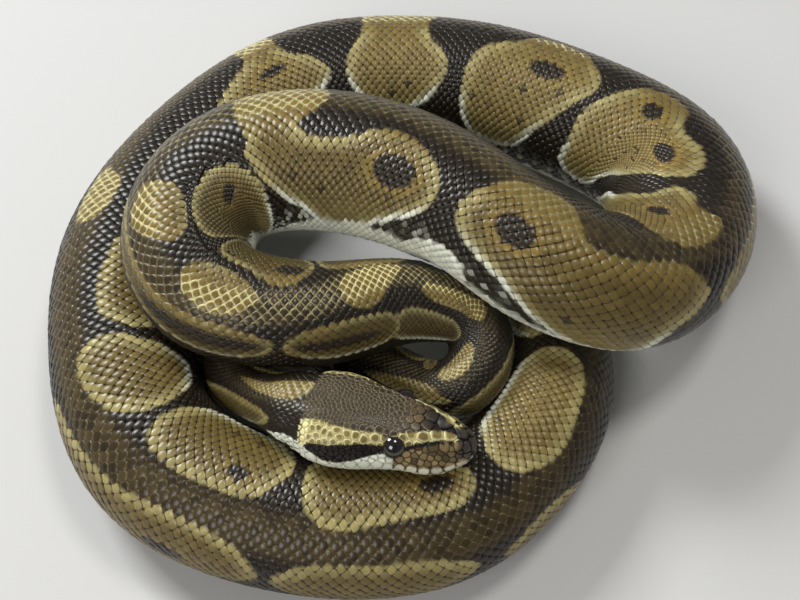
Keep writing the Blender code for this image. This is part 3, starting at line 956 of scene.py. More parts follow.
# %% The finish of scales, shields and plates
def horn(name, rim_start, rim_strength, roughness, coat, grain_scale, grain_height):
    tree, shader, made = new_material(
        name, Roughness=roughness, Coat_Weight=coat, Coat_Roughness=0.16, Specular_IOR_Level=0.28)
    tint = tree.node("ShaderNodeAttribute", {"attribute_name": "tint"})
    seam = tree.node("ShaderNodeAttribute", {"attribute_name": "seam"})
    edge = tree.node("ShaderNodeAttribute", {"attribute_name": "edge"}, output=2)
    place = tree.node("ShaderNodeTexCoord", output=3)
    cloud = tree.node("ShaderNodeTexNoise", inputs={
        "Vector": place, "Scale": 900.0, "Detail": 3.0, "Roughness": 0.6})
    fine = tree.node("ShaderNodeTexNoise", inputs={
        "Vector": place, "Scale": grain_scale, "Detail": 2.0, "Roughness": 0.5})
    pale = tree.node("ShaderNodeAttribute", {"attribute_name": "seam"}, output=2)
    to_rim = tree.node("ShaderNodeMapRange", {"interpolation_type": "SMOOTHSTEP"}, {
        "Value": edge + cloud * 0.16 - 0.08, "From Min": rim_start - pale * 0.28, "From Max": 1.0,
        "To Min": 0.0, "To Max": rim_strength})
    bright = tree.node("ShaderNodeHueSaturation", inputs={"Color": tint, "Value": 0.72 + cloud * 0.56})
    colour = tree.node("ShaderNodeMix", {"data_type": "RGBA"}, {0: to_rim, 6: bright, 7: seam}, output=2)
    bumped = tree.node("ShaderNodeBump", inputs={"Strength": 0.5, "Distance": grain_height, "Height": fine})
    tree.feed(shader.inputs["Base Color"], colour)
    tree.feed(shader.inputs["Roughness"], cloud * 0.20 + (roughness - 0.10))
    tree.feed(shader.inputs["Normal"], bumped)
    return made


scale_horn = horn("scale_horn", 0.68, 0.86, 0.31, 0.16, 5200.0, 0.00004)
plate_horn = horn("plate_horn", 0.70, 0.90, 0.38, 0.22, 4200.0, 0.00005)
shield_horn = horn("shield_horn", 0.80, 0.60, 0.32, 0.45, 3600.0, 0.00003)
print("finishes:", ", ".join(made.name for made in (scale_horn, plate_horn, shield_horn)))

# %% The bare skin between the scales
def bare_skin():
    tree, shader, made = new_material("bare_skin", Roughness=0.62, Specular_IOR_Level=0.4)
    seam = tree.node("ShaderNodeAttribute", {"attribute_name": "seam"})
    place = tree.node("ShaderNodeTexCoord", output=3)
    cells = tree.node("ShaderNodeTexVoronoi", {"feature": "F1"}, {"Vector": place, "Scale": 2600.0})
    cloud = tree.node("ShaderNodeTexNoise", inputs={"Vector": place, "Scale": 700.0, "Detail": 3.0})
    shade = tree.node("ShaderNodeHueSaturation", inputs={"Color": seam, "Value": 0.70 + cloud * 0.5})
    bumped = tree.node("ShaderNodeBump", inputs={"Strength": 0.6, "Distance": 0.00006, "Height": cells})
    tree.feed(shader.inputs["Base Color"], shade)
    tree.feed(shader.inputs["Roughness"], 0.50 + cloud * 0.22)
    tree.feed(shader.inputs["Normal"], bumped)
    return made


skin_finish = bare_skin()
print("finish of the skin:", skin_finish.name)

# %% [markdown]
# ## The skin
#
# All the named lengths of flesh are replaced by one closed skin, so that no seam shows between them. The
# solids could be joined and smoothed, but the grid gives the same shape with even faces and a map that
# runs along the body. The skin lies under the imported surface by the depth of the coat, and it is
# hollowed behind each eye.

# %% Where the eyes sit
EYE_RADIUS = 0.0034
EYE_BACK = 0.0200              # from the snout's tip
EYE_OUT = 0.0072               # from the head's middle
EYE_UP = 0.0029                # above the head's axis
SOCKET_GAP = 0.00015
EYE_HOLE = 0.00278             # radius of the part of an eye that shows


def eye_place(side):
    """Centre of an eye and the direction it looks in. side is 1 on the left and -1 on the right."""
    centre, left, up = (at(v, EYE_BACK) for v in (spine_centre, spine_left, spine_up))
    middle = centre + side * EYE_OUT * left + EYE_UP * up
    near = grid.reshape(-1, 3)[np.argmin(((grid.reshape(-1, 3) - middle) ** 2).sum(1))]
    return middle, unit(near - middle)


EYES = {side: eye_place(side) for side in (1, -1)}


def eye_axes(side):
    """Centre of an eye, where it looks, and the directions upwards and along the head across that."""
    middle, look = EYES[side]
    up = unit(at(spine_up, EYE_BACK) - look * (at(spine_up, EYE_BACK) @ look))
    return middle, look, up, np.cross(up, look)


print(f"the eyes stand {np.linalg.norm(EYES[1][0] - EYES[-1][0]) / MM:.1f} mm apart")

# %% Holes of the head: nostrils, and heat pits along the upper lip
NOSTRIL = (0.0052, 27.0, 0.00075)
HEAT_PITS = (
    (0.0030, 72.0, 0.00042), (0.0062, 76.0, 0.00045), (0.0094, 76.0, 0.00045), (0.0126, 74.0, 0.00042),
)
PIT_SLOPE = (1.35, 0.5)        # where a pit's wall starts and ends, as shares of its radius
PIT_DEPTH = 1.3                # as a share of its radius
PITS = [(s, side * angle, radius) for s, angle, radius in (NOSTRIL, *HEAT_PITS) for side in (1, -1)]
PIT_POINTS = [(point_at(s, angle), radius) for s, angle, radius in PITS]
HOLES = PIT_POINTS + [(middle, EYE_HOLE) for middle, look in EYES.values()]


def open_sockets(points):
    """Moves the points that would lie in an eyeball behind it, and sinks the nostrils and heat pits."""
    moved = points.copy()
    for hole, radius in PIT_POINTS:
        near = ((grid - hole) ** 2).sum(-1) ** 0.5
        wall = ease(PIT_SLOPE[0] * radius, PIT_SLOPE[1] * radius, near)
        moved -= grid_normal * (wall * PIT_DEPTH * radius)[..., None]
    for middle, look in EYES.values():
        offset = moved - middle
        forward = offset @ look
        sideways = offset - forward[..., None] * look
        room = EYE_RADIUS + SOCKET_GAP
        within = (offset**2).sum(-1) < room**2
        depth = -np.sqrt(np.maximum(room**2 - (sideways**2).sum(-1), 0.0))
        moved = np.where(within[..., None], middle + sideways + depth[..., None] * look, moved)
    return moved


print(len(PIT_POINTS), "nostrils and heat pits")

# %% Unwrap: three strips side by side, each a third of the snake
STRIPS = 3
MARGIN = 0.02                  # of a strip on each side, as a share of it


def unwrap(s, angle, strip=None):
    """The place of (s, angle) on the flat map of the whole skin."""
    length = LENGTH / STRIPS
    if strip is None:
        strip = np.clip(np.floor(s / length), 0, STRIPS - 1)
    u = MARGIN + (1 - 2 * MARGIN) * np.clip(s - strip * length, 0, length) / length
    v = (strip + MARGIN + (1 - 2 * MARGIN) * angle / 360.0) / STRIPS
    return np.stack(np.broadcast_arrays(u, v), -1)

# %% The skin itself
SKIN_DEPTH = 0.9               # how far down in the coat the skin lies
END_PATCH = 0.001              # size of the two end faces on the map


def grid_faces(rows):
    """The four-sided faces between the first rows of the grid."""
    index = np.arange(rows * COLUMNS).reshape(rows, COLUMNS)
    after = np.roll(index, -1, axis=1)
    return np.stack([index[:-1], after[:-1], after[1:], index[1:]], -1).reshape(-1, 4).tolist()


def skin_map(rows, columns):
    """Places on the map for the corners of all the faces, with the seam of the tube kept whole."""
    low_row = np.repeat(np.arange(rows - 1), columns)
    strip = np.clip(np.floor(row_s[low_row] / (LENGTH / STRIPS)), 0, STRIPS - 1)
    column = np.tile(np.arange(columns), rows - 1)
    corners = [
        unwrap(row_s[low_row + down], (column + across) * 360.0 / columns, strip)
        for down, across in ((0, 0), (0, 1), (1, 1), (1, 0))
    ]
    ends = [unwrap(row_s[row], column_angle, strip[row]) * END_PATCH for row in (0, -1)]
    return np.concatenate([np.stack(corners, 1).reshape(-1, 2)] + ends)


def make_skin():
    depth = SKIN_DEPTH * coat_depth(row_s)[:, None, None]
    points = open_sockets(grid - grid_normal * depth)
    rows, columns = points.shape[:2]
    first, last = np.arange(columns), np.arange(columns) + (rows - 1) * columns
    faces = grid_faces(rows) + [first[::-1].tolist(), last.tolist()]
    made = new_object("skin", points.reshape(-1, 3), faces, skin_finish)
    s, angle = np.repeat(row_s, columns), np.tile(column_angle, rows)
    put_colours(made.data, seam=colours(s, angle, np.full(len(s), 0.5))[1])
    put(made.data, "OFBake", "FLOAT2", "CORNER", skin_map(rows, columns))
    keep_inside(made)
    return made


skin = make_skin()
print("skin:", len(skin.data.polygons), "faces")

# %% [markdown]
# ## One scale
#
# Every body scale is the same closed plate, rounded like a shield and higher at its rear edge. Bumps in
# the skin would be lighter, but they have no free edges that overlap the next scale and catch the light.
#
# It is modelled once, 2 units long and wide and 1 deep, with its front towards -X. The small map on it
# is the patch that each copy carries to its own place on the big one.

# %% Model one scale
SCALE_CORNERS = (0, 32, 64, 94, 140, -140, -94, -64, -32)
LOZENGE = 1.60                 # 1 is a diamond, 2 an ellipse
RINGS = ((0.72, 0.76, 0.32), (1.00, 0.36, 0.44))   # share of the reach, height there, reach on the patch
TOP, FOOT = 0.86, -0.14        # heights of the middle and of the lower rim
TILT = 0.27                    # how much higher the rear edge lies than the middle
UNDERSIDE = (0.02, 0.03)       # where the hidden face lies on the patch, and how large it is


def scale_shape():
    work = bmesh.new()
    patch = work.loops.layers.uv.new("patch")
    edge = work.verts.layers.float.new("edge")
    spread = {}

    def ring(share, height, rank, tilt=TILT):
        made = []
        for corner in SCALE_CORNERS:
            c, s = math.cos(math.radians(corner)), math.sin(math.radians(corner))
            reach = share * (abs(c) ** LOZENGE + abs(s) ** LOZENGE) ** (-1 / LOZENGE)
            vertex = work.verts.new((reach * c, reach * s, height + tilt * reach * c))
            vertex[edge] = share
            spread[vertex] = (0.5 + rank * c, 0.5 + rank * s)
            made.append(vertex)
        return made

    middle = work.verts.new((0.0, 0.0, TOP))
    spread[middle] = (0.5, 0.5)
    inner, outer = (ring(*each) for each in RINGS)
    foot = ring(1.0, FOOT, 0.5, 0.0)
    for i in range(len(SCALE_CORNERS)):
        j = (i + 1) % len(SCALE_CORNERS)
        faces = [(middle, inner[i], inner[j])]
        faces += [(near[i], far[i], far[j], near[j]) for near, far in ((inner, outer), (outer, foot))]
        for corners in faces:
            face = work.faces.new(corners)
            face.smooth = True
            for loop in face.loops:
                loop[patch].uv = spread[loop.vert]
    floor = work.faces.new(foot[::-1])
    for loop in floor.loops:
        x, y = spread[loop.vert]
        loop[patch].uv = UNDERSIDE[0] + UNDERSIDE[1] * x, UNDERSIDE[0] + UNDERSIDE[1] * y
    mesh = bpy.data.meshes.new("one_scale")
    work.to_mesh(mesh)
    work.free()
    return show("one_scale", mesh)


one_scale = scale_shape()
SCALE_TRIANGLES = sum(len(face.vertices) - 2 for face in one_scale.data.polygons)
scale_corners = np.array([vertex.co[:2] for vertex in one_scale.data.vertices])
print("one scale:", SCALE_TRIANGLES, "triangles")

# %% [markdown]
# ## The coat
#
# Scales sit in rows along the body, and every second row is half a scale further on, so they meet like
# bricks laid on the slant. Scattering them at random would never line them up, so their roots are worked
# out on the grid. A Geometry Nodes tree then puts the one scale on each root, turned to the surface and
# stretched with it, and makes the copies real.

# %% The tree that lays scales
PATCH = 0.003                  # size of a scale's patch on the map


def coat_tree():
    group = bpy.data.node_groups.new("lay_scales", "GeometryNodeTree")
    sockets = {
        "Geometry": "NodeSocketGeometry", "Scale shape": "NodeSocketObject",
        "Patch size": "NodeSocketFloat", "Finish": "NodeSocketMaterial",
    }
    for name, kind in sockets.items():
        group.interface.new_socket(name, in_out="INPUT", socket_type=kind)
    group.interface.new_socket("Geometry", in_out="OUTPUT", socket_type="NodeSocketGeometry")
    tree = Socket(group)
    given = {name: tree.node("NodeGroupInput", output=name) for name in sockets}

    def named(name, kind="FLOAT_VECTOR"):
        return tree.node("GeometryNodeInputNamedAttribute", {"data_type": kind}, {"Name": name})

    def combined(operation, first, second):
        return tree.node("ShaderNodeVectorMath", {"operation": operation}, {0: first, 1: second})

    shape = tree.node("GeometryNodeObjectInfo", inputs={"Object": given["Scale shape"]}, output="Geometry")
    turned = tree.node(
        "FunctionNodeAxesToRotation", {"primary_axis": "Z", "secondary_axis": "X"},
        {"Primary Axis": named("outward"), "Secondary Axis": named("tailward")})
    laid = tree.node("GeometryNodeInstanceOnPoints", inputs={
        "Points": given["Geometry"], "Instance": shape, "Rotation": turned, "Scale": named("size")})
    real = tree.node("GeometryNodeRealizeInstances", inputs={"Geometry": laid})
    centred = combined("SUBTRACT", named("patch"), (0.5, 0.5, 0.0))
    small = tree.node(
        "ShaderNodeVectorMath", {"operation": "SCALE"}, {0: centred, "Scale": given["Patch size"]})
    mapped = tree.node(
        "GeometryNodeStoreNamedAttribute", {"data_type": "FLOAT2", "domain": "CORNER"},
        {"Geometry": real, "Name": "OFBake", "Value": combined("ADD", named("root_place"), small)})
    painted = tree.node("GeometryNodeSetMaterial", inputs={"Geometry": mapped, "Material": given["Finish"]})
    tree.node("NodeGroupOutput", inputs={"Geometry": painted})
    return group


lay_scales = coat_tree()
print("the tree has", len(lay_scales.nodes), "nodes")

# %% Run a tree and keep its result
def apply_tree(host, group, values):
    """Runs a tree on an object and leaves its result as a plain mesh, with the modifier gone."""
    modifier = host.modifiers.new(group.name, "NODES")
    modifier.node_group = group
    for item in group.interface.items_tree:
        if item.in_out == "INPUT" and item.name in values:
            modifier[item.identifier] = values[item.name]
    bpy.context.view_layer.update()
    result = bpy.data.meshes.new_from_object(host.evaluated_get(bpy.context.evaluated_depsgraph_get()))
    host.modifiers.clear()
    old, host.data = host.data, result
    bpy.data.meshes.remove(old)
    result.name = host.name
    return host

# %% Roots of the scales
AROUND = 70                    # rows of scales round the whole body
WIDE_ROWS = 4.2                # degrees by which rows crowd together on the flanks
PITCH = 0.00285                # from one scale to the next in a row, at mid body
BELLY = 41.0                   # degrees each side of the belly's middle that shields cover
BELLY_EDGE = 1.5               # degrees of that which scales still cover
SHIELDS_FROM, SHIELDS_TO = 0.0560, 0.9850
BELLY_TURN = (                 # where the belly's middle lies further left, and by how many degrees
    (0.420, 0.455, 0.560, 0.620),
    (0.0, 20.0, 20.0, 0.0),
)


def phase_along():
    """Distances, and how many scales of a row lie in front of each."""
    s = np.linspace(0.040, LENGTH, 4000)
    pitch = PITCH * (at(spine_width, s) / MID_WIDTH) ** 0.6
    count = np.concatenate([[0.0], np.cumsum((1 / pitch[1:] + 1 / pitch[:-1]) / 2 * np.diff(s))])
    return s, count


phase_s, phase_count = phase_along()
print(f"{phase_count[-1]:.0f} scales in each row from head to tail")


def belly_middle(s):
    return 180.0 - np.interp(s, *BELLY_TURN)


def scale_roots(start, end, around):
    """Place, angle, the steps to the next scale and the next row, and the row's parity, for each scale."""
    first, last = (np.interp(x, phase_s, phase_count) for x in (start, end))
    found = []
    for j in range(around):
        even = signed(j / around * 360.0)
        angle = even + WIDE_ROWS * math.sin(math.radians(2 * even))
        crowding = 1 + math.radians(2 * WIDE_ROWS) * math.cos(math.radians(2 * even))
        spread = crowding * 2 * math.pi / around
        shift = 0.5 * (j % 2)
        k = np.arange(math.ceil(first - shift), math.ceil(last - shift)) + shift
        s = np.interp(k, phase_count, phase_s)
        step = np.interp(k + 0.5, phase_count, phase_s) - np.interp(k - 0.5, phase_count, phase_s)
        found.append(np.stack(np.broadcast_arrays(s, angle, step, spread, j % 2), 1))
    found = np.concatenate(found)
    s, angle = found[:, 0], found[:, 1]
    over_belly = side_of(angle - belly_middle(s)) < BELLY - BELLY_EDGE
    return found[~(over_belly & (s > SHIELDS_FROM) & (s < SHIELDS_TO))].T

# %% [markdown]
# On the inner side of a tight bend a scale's place is short and wide. A single scale there would look
# like a rib, so two or three small ones stand side by side on it, as the skin folds up in a real snake's
# bend.

# %% Small scales inside tight bends
SQUEEZE = (0.36, 0.58)         # length to width below which three and two small scales share one place
SHARED = (0.120, 0.985)        # the stretch of body that has them


def share_places(s, angle, step, spread, odd):
    """The scales that really lie there, with each one's owner among the roots and its rank at that place."""
    length = np.linalg.norm(on_grid(slope_s, s, angle), axis=1) * step
    width = np.linalg.norm(on_grid(slope_angle, s, angle), axis=1) * spread * 2
    bent = (s > SHARED[0]) & (s < SHARED[1])
    parts = 1 + sum(((length < limit * width) & bent).astype(int) for limit in SQUEEZE)
    owner = np.repeat(np.arange(len(s)), parts)
    rank = np.arange(len(owner)) - np.repeat(np.cumsum(parts) - parts, parts)
    share = parts[owner]
    shift = (2 * rank - share + 1) / share + 0.5 * (share == 2) * odd[owner]
    angle = angle[owner] + shift * np.degrees(spread[owner])
    return s[owner], angle, step[owner], spread[owner] / share, owner, rank

# %% Lay one piece of the coat
OVERLAP_LONG, OVERLAP_WIDE = 1.15, 1.02
MARK_SHARE = 0.65              # how far a marking's edge runs across a scale
LUCK_STEP = 0.37               # between the luck of small scales that share a place
UNEVEN_LEAN, UNEVEN_LENGTH = 0.030, 0.02


def carry(mesh, **fields):
    """Stores vectors on the roots, for the tree to read."""
    for name, vectors in fields.items():
        put(mesh, name, "FLOAT_VECTOR", "POINT", vectors)


def lay_coat(name, start, end, around=AROUND):
    roots = scale_roots(start, end, around)
    s, angle, step, spread, owner, rank = share_places(*roots)
    outward = unit(on_grid(grid_normal, s, angle))
    down, across = on_grid(slope_s, s, angle), on_grid(slope_angle, s, angle)
    depth = coat_depth(s)
    luck = (dice.random(len(roots[0]))[owner] + LUCK_STEP * rank) % 1.0
    wobble = dice.normal(0, 1, (len(roots[0]), 3))[owner]
    sideways = unit(np.cross(outward, down))
    lean = UNEVEN_LEAN * wobble[:, :1] * sideways + UNEVEN_LEAN * wobble[:, 1:2] * unit(down)
    half_long, half_wide = step * OVERLAP_LONG / 2, spread * OVERLAP_WIDE
    long = np.linalg.norm(down, axis=1) * half_long * (1 + UNEVEN_LENGTH * wobble[:, 2])
    wide = np.linalg.norm(across, axis=1) * half_wide
    flat = unwrap(s, angle % 360.0)
    host = new_object(name, on_grid(grid, s, angle) - outward * depth[:, None], [])
    carry(
        host.data, outward=unit(outward + lean), tailward=unit(down), size=np.stack([long, wide, depth], 1),
        root_place=np.concatenate([flat, np.zeros((len(s), 1))], 1))
    apply_tree(host, lay_scales, {"Scale shape": one_scale, "Patch size": PATCH, "Finish": scale_horn})
    for spent in ("outward", "tailward", "size", "root_place", "patch"):
        if spent in host.data.attributes:
            host.data.attributes.remove(host.data.attributes[spent])
    x, y = MARK_SHARE * scale_corners.T
    corner_s = s[:, None] + x * half_long[:, None]
    corner_angle = angle[:, None] - y * np.degrees(half_wide)[:, None]
    put_colours(host.data, *colours(corner_s.ravel(), corner_angle.ravel(), np.repeat(luck, len(x))))
    keep_inside(host)
    print(f"{name}: {len(s)} scales, {len(s) * SCALE_TRIANGLES} triangles")
    return host

# %% Lay the whole coat
COAT_FROM = 0.0428             # where the head's plates end
COAT = {                       # where each piece starts and ends, and its rows of scales
    "scales_neck": (COAT_FROM, 0.150, AROUND),
    "scales_inner_loop": (0.150, 0.240, AROUND),
    "scales_upper_loop": (0.240, 0.346, AROUND),
    "scales_crossing": (0.346, 0.480, AROUND),
    "scales_ring_back": (0.480, 0.650, AROUND),
    "scales_ring_left": (0.650, 0.820, AROUND),
    "scales_ring_front": (0.820, 0.985, AROUND),
    "scales_tail_base": (0.985, 1.045, 44),
    "scales_tail_tip": (1.045, LENGTH, 24),
}
coat = [lay_coat(name, *stretch) for name, stretch in COAT.items()]
bpy.data.objects.remove(one_scale)
print("faces of the coat:", sum(len(piece.data.polygons) for piece in coat))

# %% [markdown]
# ## Belly shields
#
# Under the body lies one broad shield to each step, and each shield's rear edge covers the next one's
# front. From the side they show as a row of pale steps along the foot of the coil. A scale stretched to
# that width would stand off the round belly, so each shield is a slab cut from the grid's own surface.

# %% Sizes of the belly shields
SHIELD_PITCH = 0.0047
SHIELD_ACROSS = 15             # points across a shield
SHIELD_ALONG = 4               # and along it
SHIELD_REACH = (-0.12, 1.10)   # where a shield starts and ends, in steps to the next
SHIELD_BOW = 0.10              # how far its ends lie forward
SHIELD_RISE = (0.62, 0.36)     # height at its front, and what is added at its rear
SHIELD_FOOT = 1.15             # depth of its underside, as a share of the coat's
UNDER_PATCH = 0.02             # size of the undersides on the map

# %% Lay the shields of one stretch as closed slabs in one mesh
def slab_faces(rows, columns):
    """Faces of a closed slab: a grid of points on top, the same below, and the rim between them."""
    count = rows * columns
    index = np.arange(count).reshape(rows, columns)
    border = np.concatenate([index[0, :-1], index[:-1, -1], index[-1, :0:-1], index[:0:-1, 0]])
    quads = np.stack([index[:-1, :-1], index[1:, :-1], index[1:, 1:], index[:-1, 1:]], -1).reshape(-1, 4)
    rim = np.stack([border, np.roll(border, -1), np.roll(border, -1) + count, border + count], -1)
    return np.concatenate([quads, rim, quads[:, ::-1] + count])


def shield_strip(name, start, end):
    """Closed slabs that follow the grid, each with its rear edge raised and its rims turned in."""
    stations = [start]
    while stations[-1] < end:
        stations.append(stations[-1] + SHIELD_PITCH * (at(spine_width, stations[-1]) / MID_WIDTH) ** 0.5)
    lengthwise, across = np.linspace(*SHIELD_REACH, SHIELD_ALONG), np.linspace(-1, 1, SHIELD_ACROSS)
    x, y = (each.ravel() for each in np.meshgrid(lengthwise, across, indexing="ij"))
    share = (x - SHIELD_REACH[0]) / (SHIELD_REACH[1] - SHIELD_REACH[0])
    round_in = (1 - np.abs(y) ** 8) * (SHIELD_RISE[0] + SHIELD_RISE[1] * share)
    edge = np.maximum(np.abs(y) ** 10, ease(0.85, SHIELD_REACH[1], x))
    one_slab = slab_faces(SHIELD_ALONG, SHIELD_ACROSS)
    points, faces, tints, seams, places = [], [], [], [], []
    for front, rear in zip(stations[:-1], stations[1:]):
        s = front + (rear - front) * (x - SHIELD_BOW * y**4)
        angle = belly_middle(s) + BELLY * y
        surface = on_grid(grid, s, angle)
        outward = unit(on_grid(grid_normal, s, angle))
        depth = coat_depth(s)
        faces += (sum(len(p) for p in points) + one_slab).tolist()
        points.append(surface - outward * (depth * (1 - round_in))[:, None])
        points.append(surface - outward * (depth * SHIELD_FOOT)[:, None])
        tint, seam = colours(s, angle, np.full(len(s), dice.random()))
        tints += [tint, tint]
        seams += [seam, seam]
        places += [unwrap(s, angle), unwrap(np.full(len(s), front), angle) * UNDER_PATCH]
    made = new_object(name, np.concatenate(points), faces, shield_horn)
    put_colours(made.data, np.concatenate(tints), np.concatenate(seams))
    put(made.data, "edge", "FLOAT", "POINT", np.tile([*edge, *np.ones(len(edge))], len(stations) - 1))
    put(made.data, "OFBake", "FLOAT2", "CORNER", at_corners(made.data, np.concatenate(places)))
    keep_inside(made)
    print(f"{name}: {len(stations) - 1} shields")
    return made


shields = [
    shield_strip("shields_front_half", SHIELDS_FROM, 0.480),
    shield_strip("shields_rear_half", 0.480, SHIELDS_TO),
]

# %% [markdown]
# ## Plates of the head
#
# The head wears fitted plates and not overlapping scales: large ones on the snout and along the lips,
# small ones on the crown, and a ring of them round each eye. Drawing hundreds of them by hand would be
# slow and uneven, and a cell pattern in the finish would be flat.
#
# So seeds are spread over the surface, each with its own size, and every plate is then cut back where it
# meets its neighbours, the eye, the nostril, the heat pits and the line of the mouth. The seams come out
# even, as on the animal.

# %% How large plates are in each region, in millimetres
HEAD_END = 0.0432
PLATE_SIZES = {                # distances behind the snout, and sizes there
    "crown": ((0, 4, 8, 12, 16, 20, 26, 40, 44), (2.6, 2.9, 3.3, 3.0, 2.2, 1.40, 1.00, 1.00, 1.20)),
    "ridge": ((0, 5, 9, 16, 20, 24, 34, 43), (2.2, 2.5, 3.0, 2.5, 2.0, 2.1, 1.75, 1.5)),
    "cheek": ((0, 5, 12, 18, 24, 40), (1.8, 1.8, 1.7, 1.6, 1.6, 1.6)),
    "chin": ((0, 4, 12, 43), (1.9, 2.1, 1.9, 1.7)),
}
CROWN_SIDE, CROWN_REAR = 26, 30          # angle at which the crown's plates end, in front and behind the eye
CHEEK_TOP = ((0, 10, 20, 43), (28, 34, 52, 56))


def plate_size(s, angle):
    a = side_of(angle)
    mm = s / MM
    sizes = {region: np.interp(mm, *table) for region, table in PLATE_SIZES.items()}
    size = np.where(a < CROWN_SIDE, sizes["crown"], sizes["ridge"])
    size = np.where(a > np.interp(mm, *CHEEK_TOP), sizes["cheek"], size)
    size = np.where((mm > 20) & (a < CROWN_REAR), sizes["crown"], size)
    return np.where(a > 90, sizes["chin"], size) * MM

# %% Seeds that are placed one by one: front, lips and the ring round each eye
UPPER_LIP = [
    (1.9, 1.7), (4.6, 1.8), (7.8, 1.9), (11.0, 1.9), (14.2, 1.9), (17.4, 1.7), (20.4, 1.5),
    (23.4, 2.1), (26.8, 2.2), (30.2, 2.1), (33.6, 2.0), (36.8, 1.8), (39.6, 1.6),
]
LOWER_LIP = [(2.0 + 2.75 * i, 1.0 + 0.15 * math.sin(0.5 * i)) for i in range(14)]
NOSE_PLATES = ((-0.0002, 0.0, 0.0034), (-0.0002, 180.0, 0.0030))
LIP_SIZE, CHIN_SIZE, RING_SIZE = 0.0033, 0.0027, 0.0021
EYE_RING = 9                   # plates round each eye
RING_START = 0.2               # where the first of them lies, in radians
RING_GAP = 0.00085             # from the eye's rim to their middles
SURFACE_END = 0.050            # how much of the snake the head's surface covers


def off_lips(s, height, reach):
    """Degrees off the level of the jaw's middle, for a height above or below the line of the mouth."""
    return math.degrees(math.acos(min((height / reach) ** (1 / SQUARENESS), 1.0)))


def lip_angle(s, height, upper):
    """The angle of a place the given height off the line of the mouth, on the head's plain section."""
    top, low, lip = (np.interp(s, HEAD_TABLE[0], HEAD_TABLE[row]) for row in (2, 3, 4))
    if upper:
        return off_lips(s, height, top + lip)
    return 180 - off_lips(s, height, low - lip)


surface = BVHTree.FromPolygons(
    grid.reshape(-1, 3).tolist(), grid_faces(np.searchsorted(row_s, SURFACE_END) + 1))
head_rows = np.arange(np.searchsorted(row_s, SKULL_END))
head_place = np.stack(np.meshgrid(row_s[head_rows], column_angle, indexing="ij"), -1).reshape(-1, 2)
head_points = grid[head_rows].reshape(-1, 3)
head_down = slope_s[head_rows].reshape(-1, 3)
head_round = slope_angle[head_rows].reshape(-1, 3)
head_tree = KDTree(len(head_points))
for i, point in enumerate(head_points):
    head_tree.insert(point, i)
head_tree.balance()


def place_of(points):
    """Distance and angle of points on or near the head's surface."""
    near = np.array([head_tree.find(point)[1] for point in points])
    offset = points - head_points[near]
    down, across = head_down[near], head_round[near]
    s = head_place[near, 0] + (offset * down).sum(1) / ((down**2).sum(1) + 1e-12)
    turn = np.degrees((offset * across).sum(1) / ((across**2).sum(1) + 1e-9))
    return s, head_place[near, 1] + np.clip(turn, -9, 9)

# %% Place the seeds
by_hand = [(point_at(s, angle), size) for s, angle, size in NOSE_PLATES]
for side in (1, -1):
    for lip, size, upper in ((UPPER_LIP, LIP_SIZE, True), (LOWER_LIP, CHIN_SIZE, False)):
        for place, height in lip:
            angle = side * lip_angle(place * MM, height * MM, upper)
            by_hand.append((point_at(place * MM, angle), size))
    middle, look, up, forward = eye_axes(side)
    for turn in np.arange(EYE_RING) * 2 * math.pi / EYE_RING + RING_START:
        ray = math.cos(turn) * forward + math.sin(turn) * up
        start = middle + (EYE_HOLE + RING_GAP) * ray + 0.006 * look
        hit = surface.ray_cast(Vector(start), Vector(-look))[0]
        by_hand.append((np.array(hit), RING_SIZE))
hand_points, hand_sizes = (np.array(column) for column in zip(*by_hand))
print(len(hand_points), "plates placed by hand")

# %% Spread the other seeds, each at least its own size from the rest, and even them out
ROUND = 240                    # candidates on each ring of the head
RING_STEP = 0.0003
SPACING = 0.86
EYE_MARGIN = 0.0006            # bare skin between an eye and the nearest seed
ROUNDS = 3

ring_s = np.repeat(np.arange(0.0004, HEAD_END, RING_STEP), ROUND)
ring_angle = np.tile(np.arange(ROUND) * 360.0 / ROUND, len(ring_s) // ROUND)
candidates = on_grid(grid, ring_s, ring_angle)
candidate_size = plate_size(ring_s, ring_angle)
eye_distance = np.min([((candidates - middle) ** 2).sum(1) for middle, look in EYES.values()], 0) ** 0.5
order = dice.permutation(len(candidates))
order = order[np.argsort(-np.round(candidate_size[order] * 4e3), kind="stable")]


def spread_seeds():
    """The listed seeds, and every candidate in turn that keeps its distance from all before it."""
    chosen, sizes = hand_points.copy(), hand_sizes.copy()
    for i in order:
        if eye_distance[i] < EYE_RADIUS + EYE_MARGIN:
            continue
        gap = np.linalg.norm(chosen - candidates[i], axis=1)
        if (gap > SPACING * (sizes + candidate_size[i]) / 2).all():
            chosen = np.concatenate([chosen, candidates[i:i + 1]])
            sizes = np.append(sizes, candidate_size[i])
    return chosen, sizes


seeds, seed_size = spread_seeds()
for _ in range(ROUNDS):
    power = (seeds**2).sum(1) - 2 * candidates @ seeds.T - (seed_size / 2) ** 2
    owner = power.argmin(1)
    weight = candidate_size**-4
    total = np.bincount(owner, weight, len(seeds))
    moved = np.stack([np.bincount(owner, weight * column, len(seeds)) for column in candidates.T], 1)
    free = (np.arange(len(seeds)) >= len(hand_points)) & (total > 0)
    seeds[free] = moved[free] / total[free][:, None]
seeds = np.array([surface.find_nearest(Vector(seed))[0] for seed in seeds])
seed_s, seed_angle = place_of(seeds)
seed_out = unit(on_grid(grid_normal, np.maximum(seed_s, row_s[1]), seed_angle))
print(len(seeds), "plates on the head")

